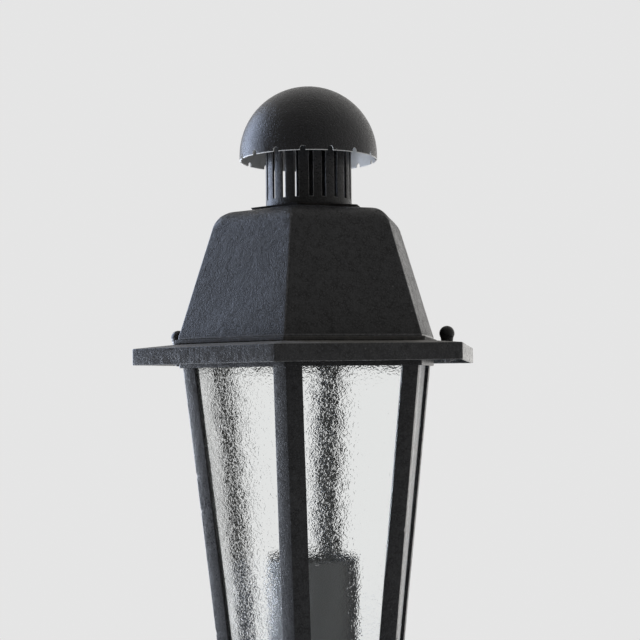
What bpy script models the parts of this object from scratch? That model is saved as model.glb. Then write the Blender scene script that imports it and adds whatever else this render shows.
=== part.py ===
"""Hexagonal bollard light: a tapered six-pane lantern with a lift-off vented roof, on a round post.

Metres, +Z up, origin at the middle of the foot.  The front corner of the hexagon faces -Y and the
two lid knobs stand on +X and -X.
"""
import math

import bmesh
import bpy
from mathutils import Matrix, Vector

MM = 0.001
GAP = 0.3 * MM                    # clearance left between pieces that touch

# Heights of the main levels above the ground
RIM_BOTTOM = 754.8 * MM           # lower edge of the projecting rim
POST_TOP_DROP = 320.6 * MM        # top of the post below the rim's lower edge
PLATE_THICK = 10.0 * MM           # foot plate

# Hexagonal body (sizes across a hexagon are given as centre-to-corner radii)
HEX = 6
COS30 = math.cos(math.radians(30))
TAN30 = math.tan(math.radians(30))
BODY_R_AT_RIM = 116.5 * MM
BODY_TAPER = 0.120                # loss of corner radius per unit of drop
BODY_TOP = 4.0 * MM               # tops of corner posts and panes, above the rim's lower edge
BODY_BOTTOM = -296.7 * MM
POST_FLANGE = 14.0 * MM           # flange width of the corner angles
POST_WALL = 3.0 * MM
GLASS_THICK = 4.0 * MM
STRIP_REACH = 11.0 * MM           # glazing strip's edge, measured from the outer corner
STRIP_WALL = 1.5 * MM
TRAY_R = 85.5 * MM
TRAY_TOP = -284.0 * MM
TRAY_FLOOR = -300.0 * MM
TRAY_HOLE_R = 30.0 * MM
SHEET = 1.5 * MM

# Top rail, seal and rim
RAIL_R = 119.6 * MM
RAIL_WALL = 2.0 * MM
RAIL_INNER_R = 103.0 * MM
RAIL_BOTTOM = -3.2 * MM
RAIL_TOP = 11.0 * MM
SEAL_TOP = 15.3 * MM
SEAL_R = 117.5 * MM
SEAL_WIDTH = 11.0 * MM
RIM_R = 160.0 * MM
RIM_HEIGHT = 13.9 * MM
RIM_LAND_R = 123.6 * MM           # where the sloping top meets the roof's foot ring
RIM_LAND_Z = 17.1 * MM
RIM_INNER_R = 104.0 * MM
RIM_FASCIA_WALL = 2.1 * MM

# Roof, chimney and dome
FOOT_RING_R = RIM_LAND_R
FOOT_RING_INNER_R = 106.0 * MM
FOOT_RING_THICK = 3.5 * MM
ROOF_BASE_R = 120.1 * MM
ROOF_HEM = 1.5 * MM               # upright strip along the roof's lower edge
ROOF_TOP_R = 84.5 * MM
ROOF_TOP_Z = 130.1 * MM
ROOF_SEAT_R = 54.5 * MM
ROOF_SEAT_Z = 133.9 * MM
ROOF_HOLE_R = 44.0 * MM
ROOF_WALL = 2.0 * MM
ROOF_EDGE_ROUND = 11.5 * MM
ROOF_HIP_ROUND = 0.22             # share of the top rounding kept on the sloping corners
TOP_PLATE_R = 54.2 * MM
TOP_PLATE_THICK = 2.0 * MM
CHIMNEY_R = 38.05 * MM
CHIMNEY_WALL = 2.0 * MM
CHIMNEY_SLOTS = 20
CHIMNEY_SLOT_WIDTH = 3.8 * MM
CHIMNEY_SLOT_BOTTOM = 143.6 * MM
CHIMNEY_SLOT_TOP = 206.0 * MM
CHIMNEY_SLOT_TURN = 11.9          # degrees from the front corner to a slot
DOME_R = 61.0 * MM
DOME_WALL = 1.3 * MM
DOME_RIM_Z = 179.5 * MM
DOME_SKIRT = 4.7 * MM
DOME_NOTCHES = 16
DOME_NOTCH_WIDTH = 4.8 * MM
DOME_NOTCH_HEIGHT = 4.0 * MM
DOME_NOTCH_TURN = 5.4

# Lid knobs
KNOB_OFFSET = 120.3 * MM          # knob axis from the lantern's axis
KNOB_BALL_R = 6.5 * MM
KNOB_BALL_Z = 24.0 * MM
KNOB_NECK_R = 4.3 * MM
KNOB_FOOT_Z = 16.6 * MM
STUD_R = 3.0 * MM
STUD_BOTTOM = -1.0 * MM
STUD_HOLE_R = 3.35 * MM
RETAINER_R = 5.5 * MM
RETAINER_THICK = 1.0 * MM
RETAINER_TOP = 13.0 * MM
BRACKET_TOP = 8.5 * MM
BRACKET_THICK = 3.0 * MM
BRACKET_REACH = 131.0 * MM
BRACKET_WIDTH = 26.0 * MM
NUT_R = 5.8 * MM
NUT_THICK = 4.6 * MM

# Lamp and its can
CAN_R = 38.05 * MM
CAN_WALL = 1.5 * MM
CAN_FLOOR = 2.0 * MM
CAN_TOP = -169.5 * MM
HOLDER_R = 19.0 * MM
HOLDER_TOP = -248.0 * MM
HOLDER_BORE_R = 13.6 * MM
HOLDER_FOOT_R = 28.0 * MM
LAMP_R = 32.0 * MM
LAMP_CAP_R = 13.2 * MM
LAMP_TOP = -188.0 * MM
LENS_RISE = 5.5 * MM
GLAND_BODY_R = 8.0 * MM
GLAND_HEAD_R = 11.0 * MM
GLAND_BORE_R = 4.0 * MM

# Post, socket and foot
POST_R = 44.45 * MM
POST_TUBE_WALL = 3.2 * MM
SOCKET_R = 50.0 * MM
SOCKET_FLANGE_R = 64.0 * MM
SOCKET_TOP = TRAY_FLOOR - GAP
SOCKET_BOTTOM = -370.0 * MM
SOCKET_SEAT = -320.3 * MM
SOCKET_BORE_R = 20.0 * MM
SET_SCREW_R = 3.0 * MM
SET_SCREW_Z = -348.0 * MM
PLATE_R = 110.0 * MM
PLATE_HOLE_R = 35.0 * MM
ANCHOR_HOLE_R = 7.0 * MM
ANCHOR_CIRCLE_R = 88.0 * MM

ROUND_STEPS = 32
SMALL_STEPS = 16


# ---------------------------------------------------------------------------------------------
# Scene and materials

def clear_scene():
    for obj in list(bpy.data.objects):
        bpy.data.objects.remove(obj, do_unlink=True)


def new_collection(name):
    collection = bpy.data.collections.new(name)
    bpy.context.scene.collection.children.link(collection)
    return collection


def make_material(name, colour, roughness, metallic=0.0, transmission=0.0):
    material = bpy.data.materials.new(name)
    material.use_nodes = True
    shader = material.node_tree.nodes["Principled BSDF"]
    shader.inputs["Base Color"].default_value = (*colour, 1.0)
    shader.inputs["Roughness"].default_value = roughness
    shader.inputs["Metallic"].default_value = metallic
    shader.inputs["Transmission Weight"].default_value = transmission
    material.diffuse_color = (*colour, 1.0)
    return material


def black_paint(name):
    return make_material(name, (0.045, 0.046, 0.05), 0.55)


def grey_metal(name):
    return make_material(name, (0.42, 0.43, 0.44), 0.5, metallic=0.9)


def zinc_plate(name):
    return make_material(name, (0.55, 0.55, 0.56), 0.35, metallic=1.0)


def hammered_glass(name):
    return make_material(name, (0.93, 0.96, 0.96), 0.12, transmission=0.9)


# ---------------------------------------------------------------------------------------------
# Shape helpers

def place(name, mesh, collection, material):
    obj = bpy.data.objects.new(name, mesh)
    collection.objects.link(obj)
    if material is not None:
        mesh.materials.append(material)
    return obj


def arc(centre_x, centre_z, radius, start, end, count):
    """Points on an arc from start to end degrees, both ends included."""
    points = []
    for index in range(count + 1):
        angle = math.radians(start + (end - start) * index / count)
        points.append((centre_x + radius * math.cos(angle), centre_z + radius * math.sin(angle)))
    return points


def revolve(name, profile, collection, material, steps=ROUND_STEPS, closed=True, turn=0.0):
    """Turn a profile of (radius, height) points about Z; six steps give a hexagonal ring.

    The outer side of the profile runs from top to bottom."""
    mesh = bpy.data.meshes.new(name)
    count = len(profile)
    edges = [(i, i + 1) for i in range(count - 1)]
    if closed:
        edges.append((count - 1, 0))
    mesh.from_pydata([(x, 0.0, z) for x, z in profile], edges, [])
    obj = place(name, mesh, collection, material)
    obj.rotation_euler.z = math.radians(turn)
    screw = obj.modifiers.new("Turn", "SCREW")
    screw.axis = "Z"
    screw.angle = 2.0 * math.pi
    screw.steps = steps
    screw.render_steps = steps
    screw.use_merge_vertices = True
    screw.merge_threshold = 0.00001
    screw.use_smooth_shade = steps > HEX
    return obj


def hex_ring(name, profile, collection, material):
    """A ring of constant section with one corner of its hexagon towards -Y."""
    return revolve(name, profile, collection, material, steps=HEX, turn=30.0)


def add_bevel(obj, width, segments=2, limit=35.0):
    bevel = obj.modifiers.new("Edges", "BEVEL")
    bevel.width = width
    bevel.segments = segments
    bevel.limit_method = "ANGLE"
    bevel.angle_limit = math.radians(limit)
    return bevel


def cut(obj, cutter):
    boolean = obj.modifiers.new("Cut " + cutter.name, "BOOLEAN")
    boolean.operation = "DIFFERENCE"
    boolean.solver = "EXACT"
    boolean.object = cutter
    return boolean


def loft(name, lower, low_z, upper, high_z, collection, material):
    """Solid between two level outlines with the same number of corners, both anticlockwise."""
    shape = bmesh.new()
    bottom = [shape.verts.new((x, y, low_z)) for x, y in lower]
    top = [shape.verts.new((x, y, high_z)) for x, y in upper]
    count = len(lower)
    for index in range(count):
        after = (index + 1) % count
        shape.faces.new((bottom[index], bottom[after], top[after], top[index]))
    shape.faces.new(list(reversed(bottom)))
    shape.faces.new(top)
    mesh = bpy.data.meshes.new(name)
    shape.to_mesh(mesh)
    shape.free()
    return place(name, mesh, collection, material)


def add_prism(shape, outline, near, far, transform):
    """Add the solid swept by an outline of (Y, Z) points between two distances along X."""
    corners = [shape.verts.new((near, y, z)) for y, z in outline]
    face = shape.faces.new(corners)
    swept = bmesh.ops.extrude_face_region(shape, geom=[face])
    moved = [item for item in swept["geom"] if isinstance(item, bmesh.types.BMVert)]
    bmesh.ops.translate(shape, verts=moved, vec=Vector((far - near, 0.0, 0.0)))
    bmesh.ops.transform(shape, matrix=transform, verts=corners + moved)


def ring_of_cutters(name, outline, near, far, count, turn, cutters):
    """One cutter mesh holding radial prisms spread evenly about Z."""
    shape = bmesh.new()
    for index in range(count):
        angle = math.radians(turn - 90.0 + 360.0 * index / count)
        add_prism(shape, outline, near, far, Matrix.Rotation(angle, 4, "Z"))
    bmesh.ops.recalc_face_normals(shape, faces=shape.faces)
    mesh = bpy.data.meshes.new(name)
    shape.to_mesh(mesh)
    shape.free()
    return as_cutter(place(name, mesh, cutters, None))


def as_cutter(obj):
    obj.hide_render = True
    obj.display_type = "WIRE"
    return obj


def cylinder_mesh(name, radius, depth, steps, collection, material):
    """A capped cylinder or hexagonal bar centred on its own origin."""
    shape = bmesh.new()
    bmesh.ops.create_cone(shape, cap_ends=True, segments=steps, radius1=radius, radius2=radius,
                          depth=depth)
    mesh = bpy.data.meshes.new(name)
    shape.to_mesh(mesh)
    shape.free()
    return place(name, mesh, collection, material)


def round_cutter(name, radius, depth, location, cutters, steps=SMALL_STEPS):
    obj = as_cutter(cylinder_mesh(name, radius, depth, steps, cutters, None))
    obj.location = location
    return obj


def at(height):
    """World height of a level given from the rim's lower edge."""
    return RIM_BOTTOM + height


def raise_to_rim(obj):
    obj.location.z = RIM_BOTTOM
    return obj


def smooth(obj, angle=40.0):
    for polygon in obj.data.polygons:
        polygon.use_smooth = True
    if obj.data.polygons:
        obj.data.set_sharp_from_angle(angle=math.radians(angle))


def body_radius(height):
    return BODY_R_AT_RIM + BODY_TAPER * height


# ---------------------------------------------------------------------------------------------
# Foot and post

def build_base_plate(parts, cutters):
    chamfer = 1.0 * MM
    profile = [
        (PLATE_HOLE_R, PLATE_THICK), (PLATE_R - chamfer, PLATE_THICK), (PLATE_R, PLATE_THICK - chamfer),
        (PLATE_R, 0.0), (PLATE_HOLE_R, 0.0),
    ]
    plate = revolve("base_plate", profile, parts, black_paint("base_plate_paint"), steps=48)
    for index in range(4):
        angle = math.radians(45.0 + 90.0 * index)
        spot = (ANCHOR_CIRCLE_R * math.cos(angle), ANCHOR_CIRCLE_R * math.sin(angle), PLATE_THICK / 2)
        cutter = round_cutter(f"anchor_cut_{index + 1}", ANCHOR_HOLE_R, 2 * PLATE_THICK, spot, cutters)
        cut(plate, cutter)


def build_post_tube(parts):
    low = PLATE_THICK + GAP
    high = RIM_BOTTOM - POST_TOP_DROP
    inner = POST_R - POST_TUBE_WALL
    profile = [(inner, high), (POST_R, high), (POST_R, low), (inner, low)]
    revolve("post_tube", profile, parts, black_paint("post_paint"))


def build_socket(parts, cutters):
    """Casting that carries the lantern and slips over the top of the post."""
    bore = POST_R + 0.35 * MM
    flange_bottom = SOCKET_TOP - 4.7 * MM
    cove = SOCKET_FLANGE_R - SOCKET_R
    profile = [(SOCKET_BORE_R, SOCKET_TOP), (SOCKET_FLANGE_R, SOCKET_TOP)]
    profile += arc(SOCKET_FLANGE_R, flange_bottom - cove, cove, 90.0, 180.0, 4)
    profile += [
        (SOCKET_R, SOCKET_BOTTOM + 2 * MM),
        (SOCKET_R - 2 * MM, SOCKET_BOTTOM),
        (bore, SOCKET_BOTTOM),
        (bore, SOCKET_SEAT),
        (SOCKET_BORE_R, SOCKET_SEAT),
    ]
    socket = raise_to_rim(revolve("post_socket", profile, parts, black_paint("socket_paint")))
    for index in range(3):
        turn = math.radians(-90.0 + 120.0 * index)
        middle = (SOCKET_R + POST_R) / 2
        spot = (middle * math.cos(turn), middle * math.sin(turn), at(SET_SCREW_Z))
        hole = round_cutter(f"set_screw_cut_{index + 1}", SET_SCREW_R + GAP, 16 * MM, spot, cutters)
        hole.rotation_euler = (0.0, math.radians(90.0), turn)
        cut(socket, hole)


def build_set_screws(parts, cutters):
    """Three grub screws with hexagon sockets, bearing on the post."""
    length = 6.6 * MM
    inner = POST_R + GAP
    for index in range(3):
        turn = math.radians(-90.0 + 120.0 * index)
        number = index + 1
        screw = cylinder_mesh(f"set_screw_{number}", SET_SCREW_R, length, 16, parts,
                              zinc_plate(f"set_screw_zinc_{number}"))
        middle = inner + length / 2
        screw.location = (middle * math.cos(turn), middle * math.sin(turn), at(SET_SCREW_Z))
        screw.rotation_euler = (0.0, math.radians(90.0), turn)
        outer = inner + length
        socket = as_cutter(cylinder_mesh(f"hex_key_cut_{number}", 1.7 * MM, 6 * MM, HEX, cutters, None))
        socket.location = (outer * math.cos(turn), outer * math.sin(turn), at(SET_SCREW_Z))
        socket.rotation_euler = (0.0, math.radians(90.0), turn)
        cut(screw, socket)
        smooth(screw)


# ---------------------------------------------------------------------------------------------
# Lantern body

def build_tray(parts):
    wall = 2.0 * MM
    inner = TRAY_R - wall
    floor_top = TRAY_FLOOR + 3.0 * MM
    profile = [
        (inner, TRAY_TOP), (TRAY_R, TRAY_TOP), (TRAY_R, TRAY_FLOOR),
        (TRAY_HOLE_R, TRAY_FLOOR), (TRAY_HOLE_R, floor_top), (inner, floor_top),
    ]
    tray = raise_to_rim(hex_ring("bottom_tray", profile, parts, black_paint("tray_paint")))
    add_bevel(tray, 0.6 * MM, segments=1)


def angle_outline(corner_r, flange, wall):
    """Level section of a 120 degree angle whose outer corner lies on +X."""
    half = 0.5
    side = COS30
    return [
        (corner_r, 0.0),
        (corner_r - flange * half, flange * side),
        (corner_r - flange * half - wall * side, flange * side - wall * half),
        (corner_r - wall / side, 0.0),
        (corner_r - flange * half - wall * side, -flange * side + wall * half),
        (corner_r - flange * half, -flange * side),
    ]


def build_corner_post(number, parts):
    lower = angle_outline(body_radius(BODY_BOTTOM), POST_FLANGE, POST_WALL)
    upper = angle_outline(body_radius(BODY_TOP), POST_FLANGE, POST_WALL)
    post = loft(f"corner_post_{number}", lower, BODY_BOTTOM, upper, BODY_TOP, parts,
                black_paint(f"corner_post_paint_{number}"))
    post.rotation_euler.z = math.radians(-90.0 + 60.0 * (number - 1))
    raise_to_rim(post)
    add_bevel(post, 0.7 * MM, segments=1)


def build_glazing_strip(number, parts):
    """Inner corner strip that clamps two neighbouring panes against the corner post."""
    inset = (POST_WALL + GLASS_THICK + 2 * GAP) / COS30
    flange = STRIP_REACH - inset / 2
    lower = angle_outline(body_radius(BODY_BOTTOM) - inset, flange, STRIP_WALL)
    upper = angle_outline(body_radius(BODY_TOP) - inset, flange, STRIP_WALL)
    strip = loft(f"glazing_strip_{number}", lower, BODY_BOTTOM, upper, BODY_TOP, parts,
                 black_paint(f"glazing_strip_paint_{number}"))
    strip.rotation_euler.z = math.radians(-90.0 + 60.0 * (number - 1))
    raise_to_rim(strip)


def pane_outline(height):
    outer = body_radius(height) * COS30 - POST_WALL - GAP
    inner = outer - GLASS_THICK
    half = inner * TAN30 - 0.4 * MM
    return [(outer, -half), (outer, half), (inner, half), (inner, -half)]


def build_glass_pane(number, parts):
    pane = loft(f"glass_pane_{number}", pane_outline(BODY_BOTTOM), BODY_BOTTOM,
                pane_outline(BODY_TOP), BODY_TOP, parts, hammered_glass(f"hammered_glass_{number}"))
    pane.rotation_euler.z = math.radians(-60.0 + 60.0 * (number - 1))
    raise_to_rim(pane)


def build_top_rail(parts):
    inner = RAIL_R - RAIL_WALL
    under = RAIL_TOP - RAIL_WALL
    profile = [
        (RAIL_INNER_R, RAIL_TOP), (RAIL_R, RAIL_TOP), (RAIL_R, RAIL_BOTTOM),
        (inner, RAIL_BOTTOM), (inner, under), (RAIL_INNER_R, under),
    ]
    rail = raise_to_rim(hex_ring("top_rail", profile, parts, black_paint("top_rail_paint")))
    add_bevel(rail, 0.5 * MM, segments=1)


def side_sign(side):
    return 1.0 if side == "right" else -1.0


def knob_spot(side, height):
    return (side_sign(side) * KNOB_OFFSET, 0.0, at(height))


def build_lid_bracket(side, parts, cutters):
    """Shelf welded to the top rail that takes the knob's stud."""
    inner = RAIL_R * COS30 + GAP
    length = BRACKET_REACH - inner
    middle = BRACKET_TOP - BRACKET_THICK / 2
    shape = bmesh.new()
    bmesh.ops.create_cube(shape, size=1.0)
    bmesh.ops.scale(shape, verts=shape.verts, vec=(length, BRACKET_WIDTH, BRACKET_THICK))
    mesh = bpy.data.meshes.new(f"lid_bracket_{side}")
    shape.to_mesh(mesh)
    shape.free()
    bracket = place(f"lid_bracket_{side}", mesh, parts, black_paint(f"bracket_paint_{side}"))
    bracket.location = (side_sign(side) * (inner + length / 2), 0.0, at(middle))
    hole = round_cutter(f"bracket_cut_{side}", STUD_HOLE_R, 3 * BRACKET_THICK, knob_spot(side, middle),
                        cutters)
    cut(bracket, hole)


def build_bracket_nut(side, parts, cutters):
    """Weld nut under the shelf."""
    middle = BRACKET_TOP - BRACKET_THICK - GAP - NUT_THICK / 2
    nut = cylinder_mesh(f"bracket_nut_{side}", NUT_R, NUT_THICK, HEX, parts,
                        zinc_plate(f"bracket_nut_zinc_{side}"))
    nut.location = knob_spot(side, middle)
    hole = round_cutter(f"nut_cut_{side}", STUD_HOLE_R, 3 * NUT_THICK, nut.location, cutters)
    cut(nut, hole)


# ---------------------------------------------------------------------------------------------
# Lamp

def build_lamp_can(parts):
    low = TRAY_FLOOR + 3.0 * MM + GAP
    inner = CAN_R - CAN_WALL
    floor_top = low + CAN_FLOOR
    hole = GLAND_BODY_R + GAP
    profile = [
        (inner, CAN_TOP), (CAN_R, CAN_TOP), (CAN_R, low),
        (hole, low), (hole, floor_top), (inner, floor_top),
    ]
    raise_to_rim(revolve("lamp_can", profile, parts, grey_metal("can_metal")))
    return floor_top


def build_cable_gland(floor_top, parts):
    """Gland through the can's floor and the nut that holds it."""
    low = floor_top - CAN_FLOOR
    head_low = floor_top + GAP
    head_top = head_low + 4.0 * MM
    tail = low - 14.0 * MM
    profile = [
        (GLAND_BORE_R, head_top), (GLAND_HEAD_R, head_top), (GLAND_HEAD_R, head_low),
        (GLAND_BODY_R, head_low), (GLAND_BODY_R, tail), (GLAND_BORE_R, tail),
    ]
    plastic = make_material("gland_plastic", (0.03, 0.03, 0.03), 0.45)
    raise_to_rim(revolve("cable_gland", profile, parts, plastic, steps=16))
    nut_top = low - GAP
    nut_low = nut_top - 4.5 * MM
    bore = GLAND_BODY_R + GAP
    nut_profile = [
        (bore, nut_top), (bore + 5.0 * MM, nut_top), (bore + 5.0 * MM, nut_low), (bore, nut_low),
    ]
    nut_plastic = make_material("gland_nut_plastic", (0.03, 0.03, 0.03), 0.45)
    raise_to_rim(revolve("gland_nut", nut_profile, parts, nut_plastic, steps=16))


def build_lampholder(floor_top, parts):
    low = floor_top + GAP
    foot_top = low + 2.0 * MM
    foot_bore = GLAND_HEAD_R + 1.0 * MM
    cavity_r = HOLDER_R - 5.0 * MM
    seat = HOLDER_TOP - 34.0 * MM
    underside = seat - 3.0 * MM
    profile = [
        (0.0, seat), (HOLDER_BORE_R, seat), (HOLDER_BORE_R, HOLDER_TOP),
        (HOLDER_R, HOLDER_TOP), (HOLDER_R, foot_top + 1.0 * MM),
        (HOLDER_FOOT_R, foot_top), (HOLDER_FOOT_R, low),
        (foot_bore, low), (cavity_r, foot_top + 1.0 * MM), (cavity_r, underside), (0.0, underside),
    ]
    ceramic = make_material("lampholder_ceramic", (0.82, 0.81, 0.78), 0.3)
    raise_to_rim(revolve("lampholder", profile, parts, ceramic, steps=24, closed=False))


def build_lamp(parts):
    """Reflector lamp facing up: body with its screw cap, and the front lens."""
    cap_bottom = HOLDER_TOP - 33.0 * MM
    collar = HOLDER_TOP + 2.0 * MM
    rim_low = LAMP_TOP - 8.0 * MM
    flare = []
    for index in range(1, 5):
        share = index / 4
        radius = LAMP_R - (LAMP_R - 15.0 * MM) * share ** 1.6
        flare.append((radius, rim_low + (collar - rim_low) * share))
    profile = [(0.0, LAMP_TOP), (LAMP_R, LAMP_TOP), (LAMP_R, rim_low)]
    profile += flare
    profile += [
        (LAMP_CAP_R, collar - 1.5 * MM), (LAMP_CAP_R, cap_bottom + 6.0 * MM),
        (6.0 * MM, cap_bottom), (0.0, cap_bottom),
    ]
    body = make_material("lamp_body_white", (0.75, 0.75, 0.74), 0.35)
    raise_to_rim(revolve("lamp_body", profile, parts, body, steps=24, closed=False))
    low = LAMP_TOP + GAP
    radius = LAMP_R - 1.5 * MM
    lens_profile = [(0.0, low + LENS_RISE)]
    for index in range(1, 4):
        share = index / 3
        lens_profile.append((radius * share, low + 1.5 * MM + (LENS_RISE - 1.5 * MM) * (1 - share ** 2)))
    lens_profile += [(radius, low), (0.0, low)]
    lens = make_material("lamp_lens_glass", (0.9, 0.92, 0.93), 0.25, transmission=0.6)
    raise_to_rim(revolve("lamp_lens", lens_profile, parts, lens, steps=24, closed=False))


# ---------------------------------------------------------------------------------------------
# Lid: seal, rim, roof, chimney and dome

def build_lid_seal(parts):
    low = RAIL_TOP + GAP
    inner = SEAL_R - SEAL_WIDTH
    profile = [(inner, SEAL_TOP), (SEAL_R, SEAL_TOP), (SEAL_R, low), (inner, low)]
    rubber = make_material("seal_rubber", (0.02, 0.02, 0.02), 0.8)
    raise_to_rim(hex_ring("lid_seal", profile, parts, rubber))


def build_rim(parts, cutters):
    """Pressed hexagonal tray: a gently sloping top with a turned-down edge."""
    slope = (RIM_LAND_Z - RIM_HEIGHT) / (RIM_R - RIM_LAND_R)
    fascia_inner = RIM_R - RIM_FASCIA_WALL
    profile = [
        (RIM_INNER_R, RIM_LAND_Z), (RIM_LAND_R, RIM_LAND_Z), (RIM_R, RIM_HEIGHT),
        (RIM_R, 0.0), (fascia_inner, 0.0),
        (fascia_inner, RIM_HEIGHT + slope * RIM_FASCIA_WALL - SHEET),
        (RIM_LAND_R, RIM_LAND_Z - SHEET), (RIM_INNER_R, RIM_LAND_Z - SHEET),
    ]
    rim = raise_to_rim(hex_ring("rim_tray", profile, parts, black_paint("rim_paint")))
    for side in ("left", "right"):
        hole = round_cutter(f"rim_cut_{side}", STUD_HOLE_R, 10 * MM, knob_spot(side, 15 * MM), cutters)
        cut(rim, hole)
    add_bevel(rim, 0.5 * MM, segments=1, limit=50.0)


def build_foot_ring(parts):
    """Flat ring that stiffens the lower edge of the roof."""
    low = RIM_LAND_Z + GAP
    high = low + FOOT_RING_THICK
    profile = [
        (FOOT_RING_INNER_R, high), (FOOT_RING_R, high), (FOOT_RING_R, low), (FOOT_RING_INNER_R, low),
    ]
    ring = raise_to_rim(hex_ring("roof_foot_ring", profile, parts, black_paint("foot_ring_paint")))
    add_bevel(ring, 0.6 * MM, segments=1)
    return high


def build_roof(base_z, parts):
    """Hexagonal roof shell with well-rounded top edges, open below and at the chimney."""
    rings = [
        (ROOF_BASE_R, base_z), (ROOF_BASE_R, base_z + ROOF_HEM), (ROOF_TOP_R, ROOF_TOP_Z),
        (ROOF_SEAT_R, ROOF_SEAT_Z), (ROOF_HOLE_R, ROOF_SEAT_Z),
    ]
    top_row = 2
    shape = bmesh.new()
    weight = shape.edges.layers.float.new("bevel_weight_edge")
    rows = []
    for radius, height in rings:
        row = []
        for index in range(HEX):
            angle = math.radians(-90.0 + 60.0 * index)
            row.append(shape.verts.new((radius * math.cos(angle), radius * math.sin(angle), height)))
        rows.append(row)
    for lower, upper in zip(rows[:-1], rows[1:]):
        for index in range(HEX):
            after = (index + 1) % HEX
            shape.faces.new((lower[index], lower[after], upper[after], upper[index]))
    for index in range(HEX):
        top_edge = shape.edges.get((rows[top_row][index], rows[top_row][(index + 1) % HEX]))
        top_edge[weight] = 1.0
        for lower, upper in zip(rows[:top_row + 1], rows[1:top_row + 2]):
            shape.edges.get((lower[index], upper[index]))[weight] = ROOF_HIP_ROUND
    mesh = bpy.data.meshes.new("roof_shell")
    shape.to_mesh(mesh)
    shape.free()
    roof = place("roof_shell", mesh, parts, black_paint("roof_paint"))
    raise_to_rim(roof)
    rounding = add_bevel(roof, ROOF_EDGE_ROUND, segments=4)
    rounding.limit_method = "WEIGHT"
    shell = roof.modifiers.new("Wall", "SOLIDIFY")
    shell.thickness = ROOF_WALL
    shell.offset = -1.0
    shell.use_even_offset = True
    smooth(roof, 25.0)


def build_top_plate(parts, cutters):
    """Hexagonal plate on the roof that carries the chimney."""
    middle = ROOF_SEAT_Z + GAP + TOP_PLATE_THICK / 2
    plate = cylinder_mesh("chimney_plate", TOP_PLATE_R, TOP_PLATE_THICK, HEX, parts,
                          black_paint("chimney_plate_paint"))
    plate.location.z = at(middle)
    plate.rotation_euler.z = math.radians(30.0)
    inner = CHIMNEY_R - CHIMNEY_WALL
    cut(plate, round_cutter("chimney_plate_cut", inner, 20 * MM, (0.0, 0.0, at(middle)), cutters, 32))
    return middle + TOP_PLATE_THICK / 2


def build_chimney(low, parts, cutters):
    """Slotted tube; its top bears on the inside of the dome."""
    inner = CHIMNEY_R - CHIMNEY_WALL
    dome_inner = DOME_R - DOME_WALL
    high = DOME_RIM_Z + DOME_SKIRT + math.sqrt((dome_inner - 0.5 * MM) ** 2 - CHIMNEY_R ** 2)
    profile = [(inner, high), (CHIMNEY_R, high), (CHIMNEY_R, low), (inner, low)]
    chimney = revolve("chimney_tube", profile, parts, black_paint("chimney_paint"), steps=60)
    raise_to_rim(chimney)
    half = CHIMNEY_SLOT_WIDTH / 2
    outline = [
        (-half, CHIMNEY_SLOT_BOTTOM), (half, CHIMNEY_SLOT_BOTTOM),
        (half, CHIMNEY_SLOT_TOP), (-half, CHIMNEY_SLOT_TOP),
    ]
    slots = ring_of_cutters("chimney_slot_cuts", outline, inner - 4 * MM, CHIMNEY_R + 4 * MM,
                            CHIMNEY_SLOTS, CHIMNEY_SLOT_TURN, cutters)
    raise_to_rim(slots)
    cut(chimney, slots)


def build_dome(parts, cutters):
    """Spun half-sphere cap with a short skirt and a ring of U-shaped notches."""
    centre = DOME_RIM_Z + DOME_SKIRT
    inner = DOME_R - DOME_WALL
    profile = [(0.0, centre + DOME_R)]
    profile += arc(0.0, centre, DOME_R, 90.0, 0.0, 9)[1:]
    profile += [(DOME_R, DOME_RIM_Z), (inner, DOME_RIM_Z)]
    profile += arc(0.0, centre, inner, 0.0, 90.0, 9)[:-1]
    profile += [(0.0, centre + inner)]
    dome = revolve("dome_cap", profile, parts, black_paint("dome_paint"), steps=48, closed=False)
    raise_to_rim(dome)
    half = DOME_NOTCH_WIDTH / 2
    arch = DOME_RIM_Z + DOME_NOTCH_HEIGHT - half
    outline = [(-half, DOME_RIM_Z - 2 * MM), (half, DOME_RIM_Z - 2 * MM)]
    outline += arc(0.0, arch, half, 0.0, 180.0, 4)
    notches = ring_of_cutters("dome_notch_cuts", outline, inner - 3 * MM, DOME_R + 3 * MM,
                              DOME_NOTCHES, DOME_NOTCH_TURN, cutters)
    raise_to_rim(notches)
    cut(dome, notches)


def build_knob(side, parts):
    """Ball-headed knob and its captive stud, both on the knob's own axis."""
    foot = KNOB_FOOT_Z - KNOB_BALL_Z
    stud_top = foot + 5.0 * MM
    bore = STUD_R + GAP
    join = math.degrees(math.acos(KNOB_NECK_R / KNOB_BALL_R))
    profile = [(0.0, KNOB_BALL_R)]
    profile += arc(0.0, 0.0, KNOB_BALL_R, 90.0, -join, 8)[1:]
    profile += [(KNOB_NECK_R, foot), (bore, foot), (bore, stud_top + GAP), (0.0, stud_top + GAP)]
    knob = revolve(f"lid_knob_{side}", profile, parts, black_paint(f"knob_paint_{side}"), steps=20,
                   closed=False)
    knob.location = knob_spot(side, KNOB_BALL_Z)
    bottom = STUD_BOTTOM - KNOB_BALL_Z
    stud_profile = [
        (0.0, stud_top), (STUD_R, stud_top), (STUD_R, bottom + 0.8 * MM),
        (STUD_R - 0.8 * MM, bottom), (0.0, bottom),
    ]
    stud = revolve(f"knob_stud_{side}", stud_profile, parts, zinc_plate(f"stud_zinc_{side}"), steps=12,
                   closed=False)
    stud.location = knob_spot(side, KNOB_BALL_Z)


def build_stud_retainer(side, parts):
    """Clip under the rim that keeps the knob on the lid."""
    bore = STUD_R + GAP
    low = -RETAINER_THICK
    profile = [(bore, 0.0), (RETAINER_R, 0.0), (RETAINER_R, low), (bore, low)]
    clip = revolve(f"stud_retainer_{side}", profile, parts, zinc_plate(f"retainer_zinc_{side}"), steps=16)
    clip.location = knob_spot(side, RETAINER_TOP)


# ---------------------------------------------------------------------------------------------

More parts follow.
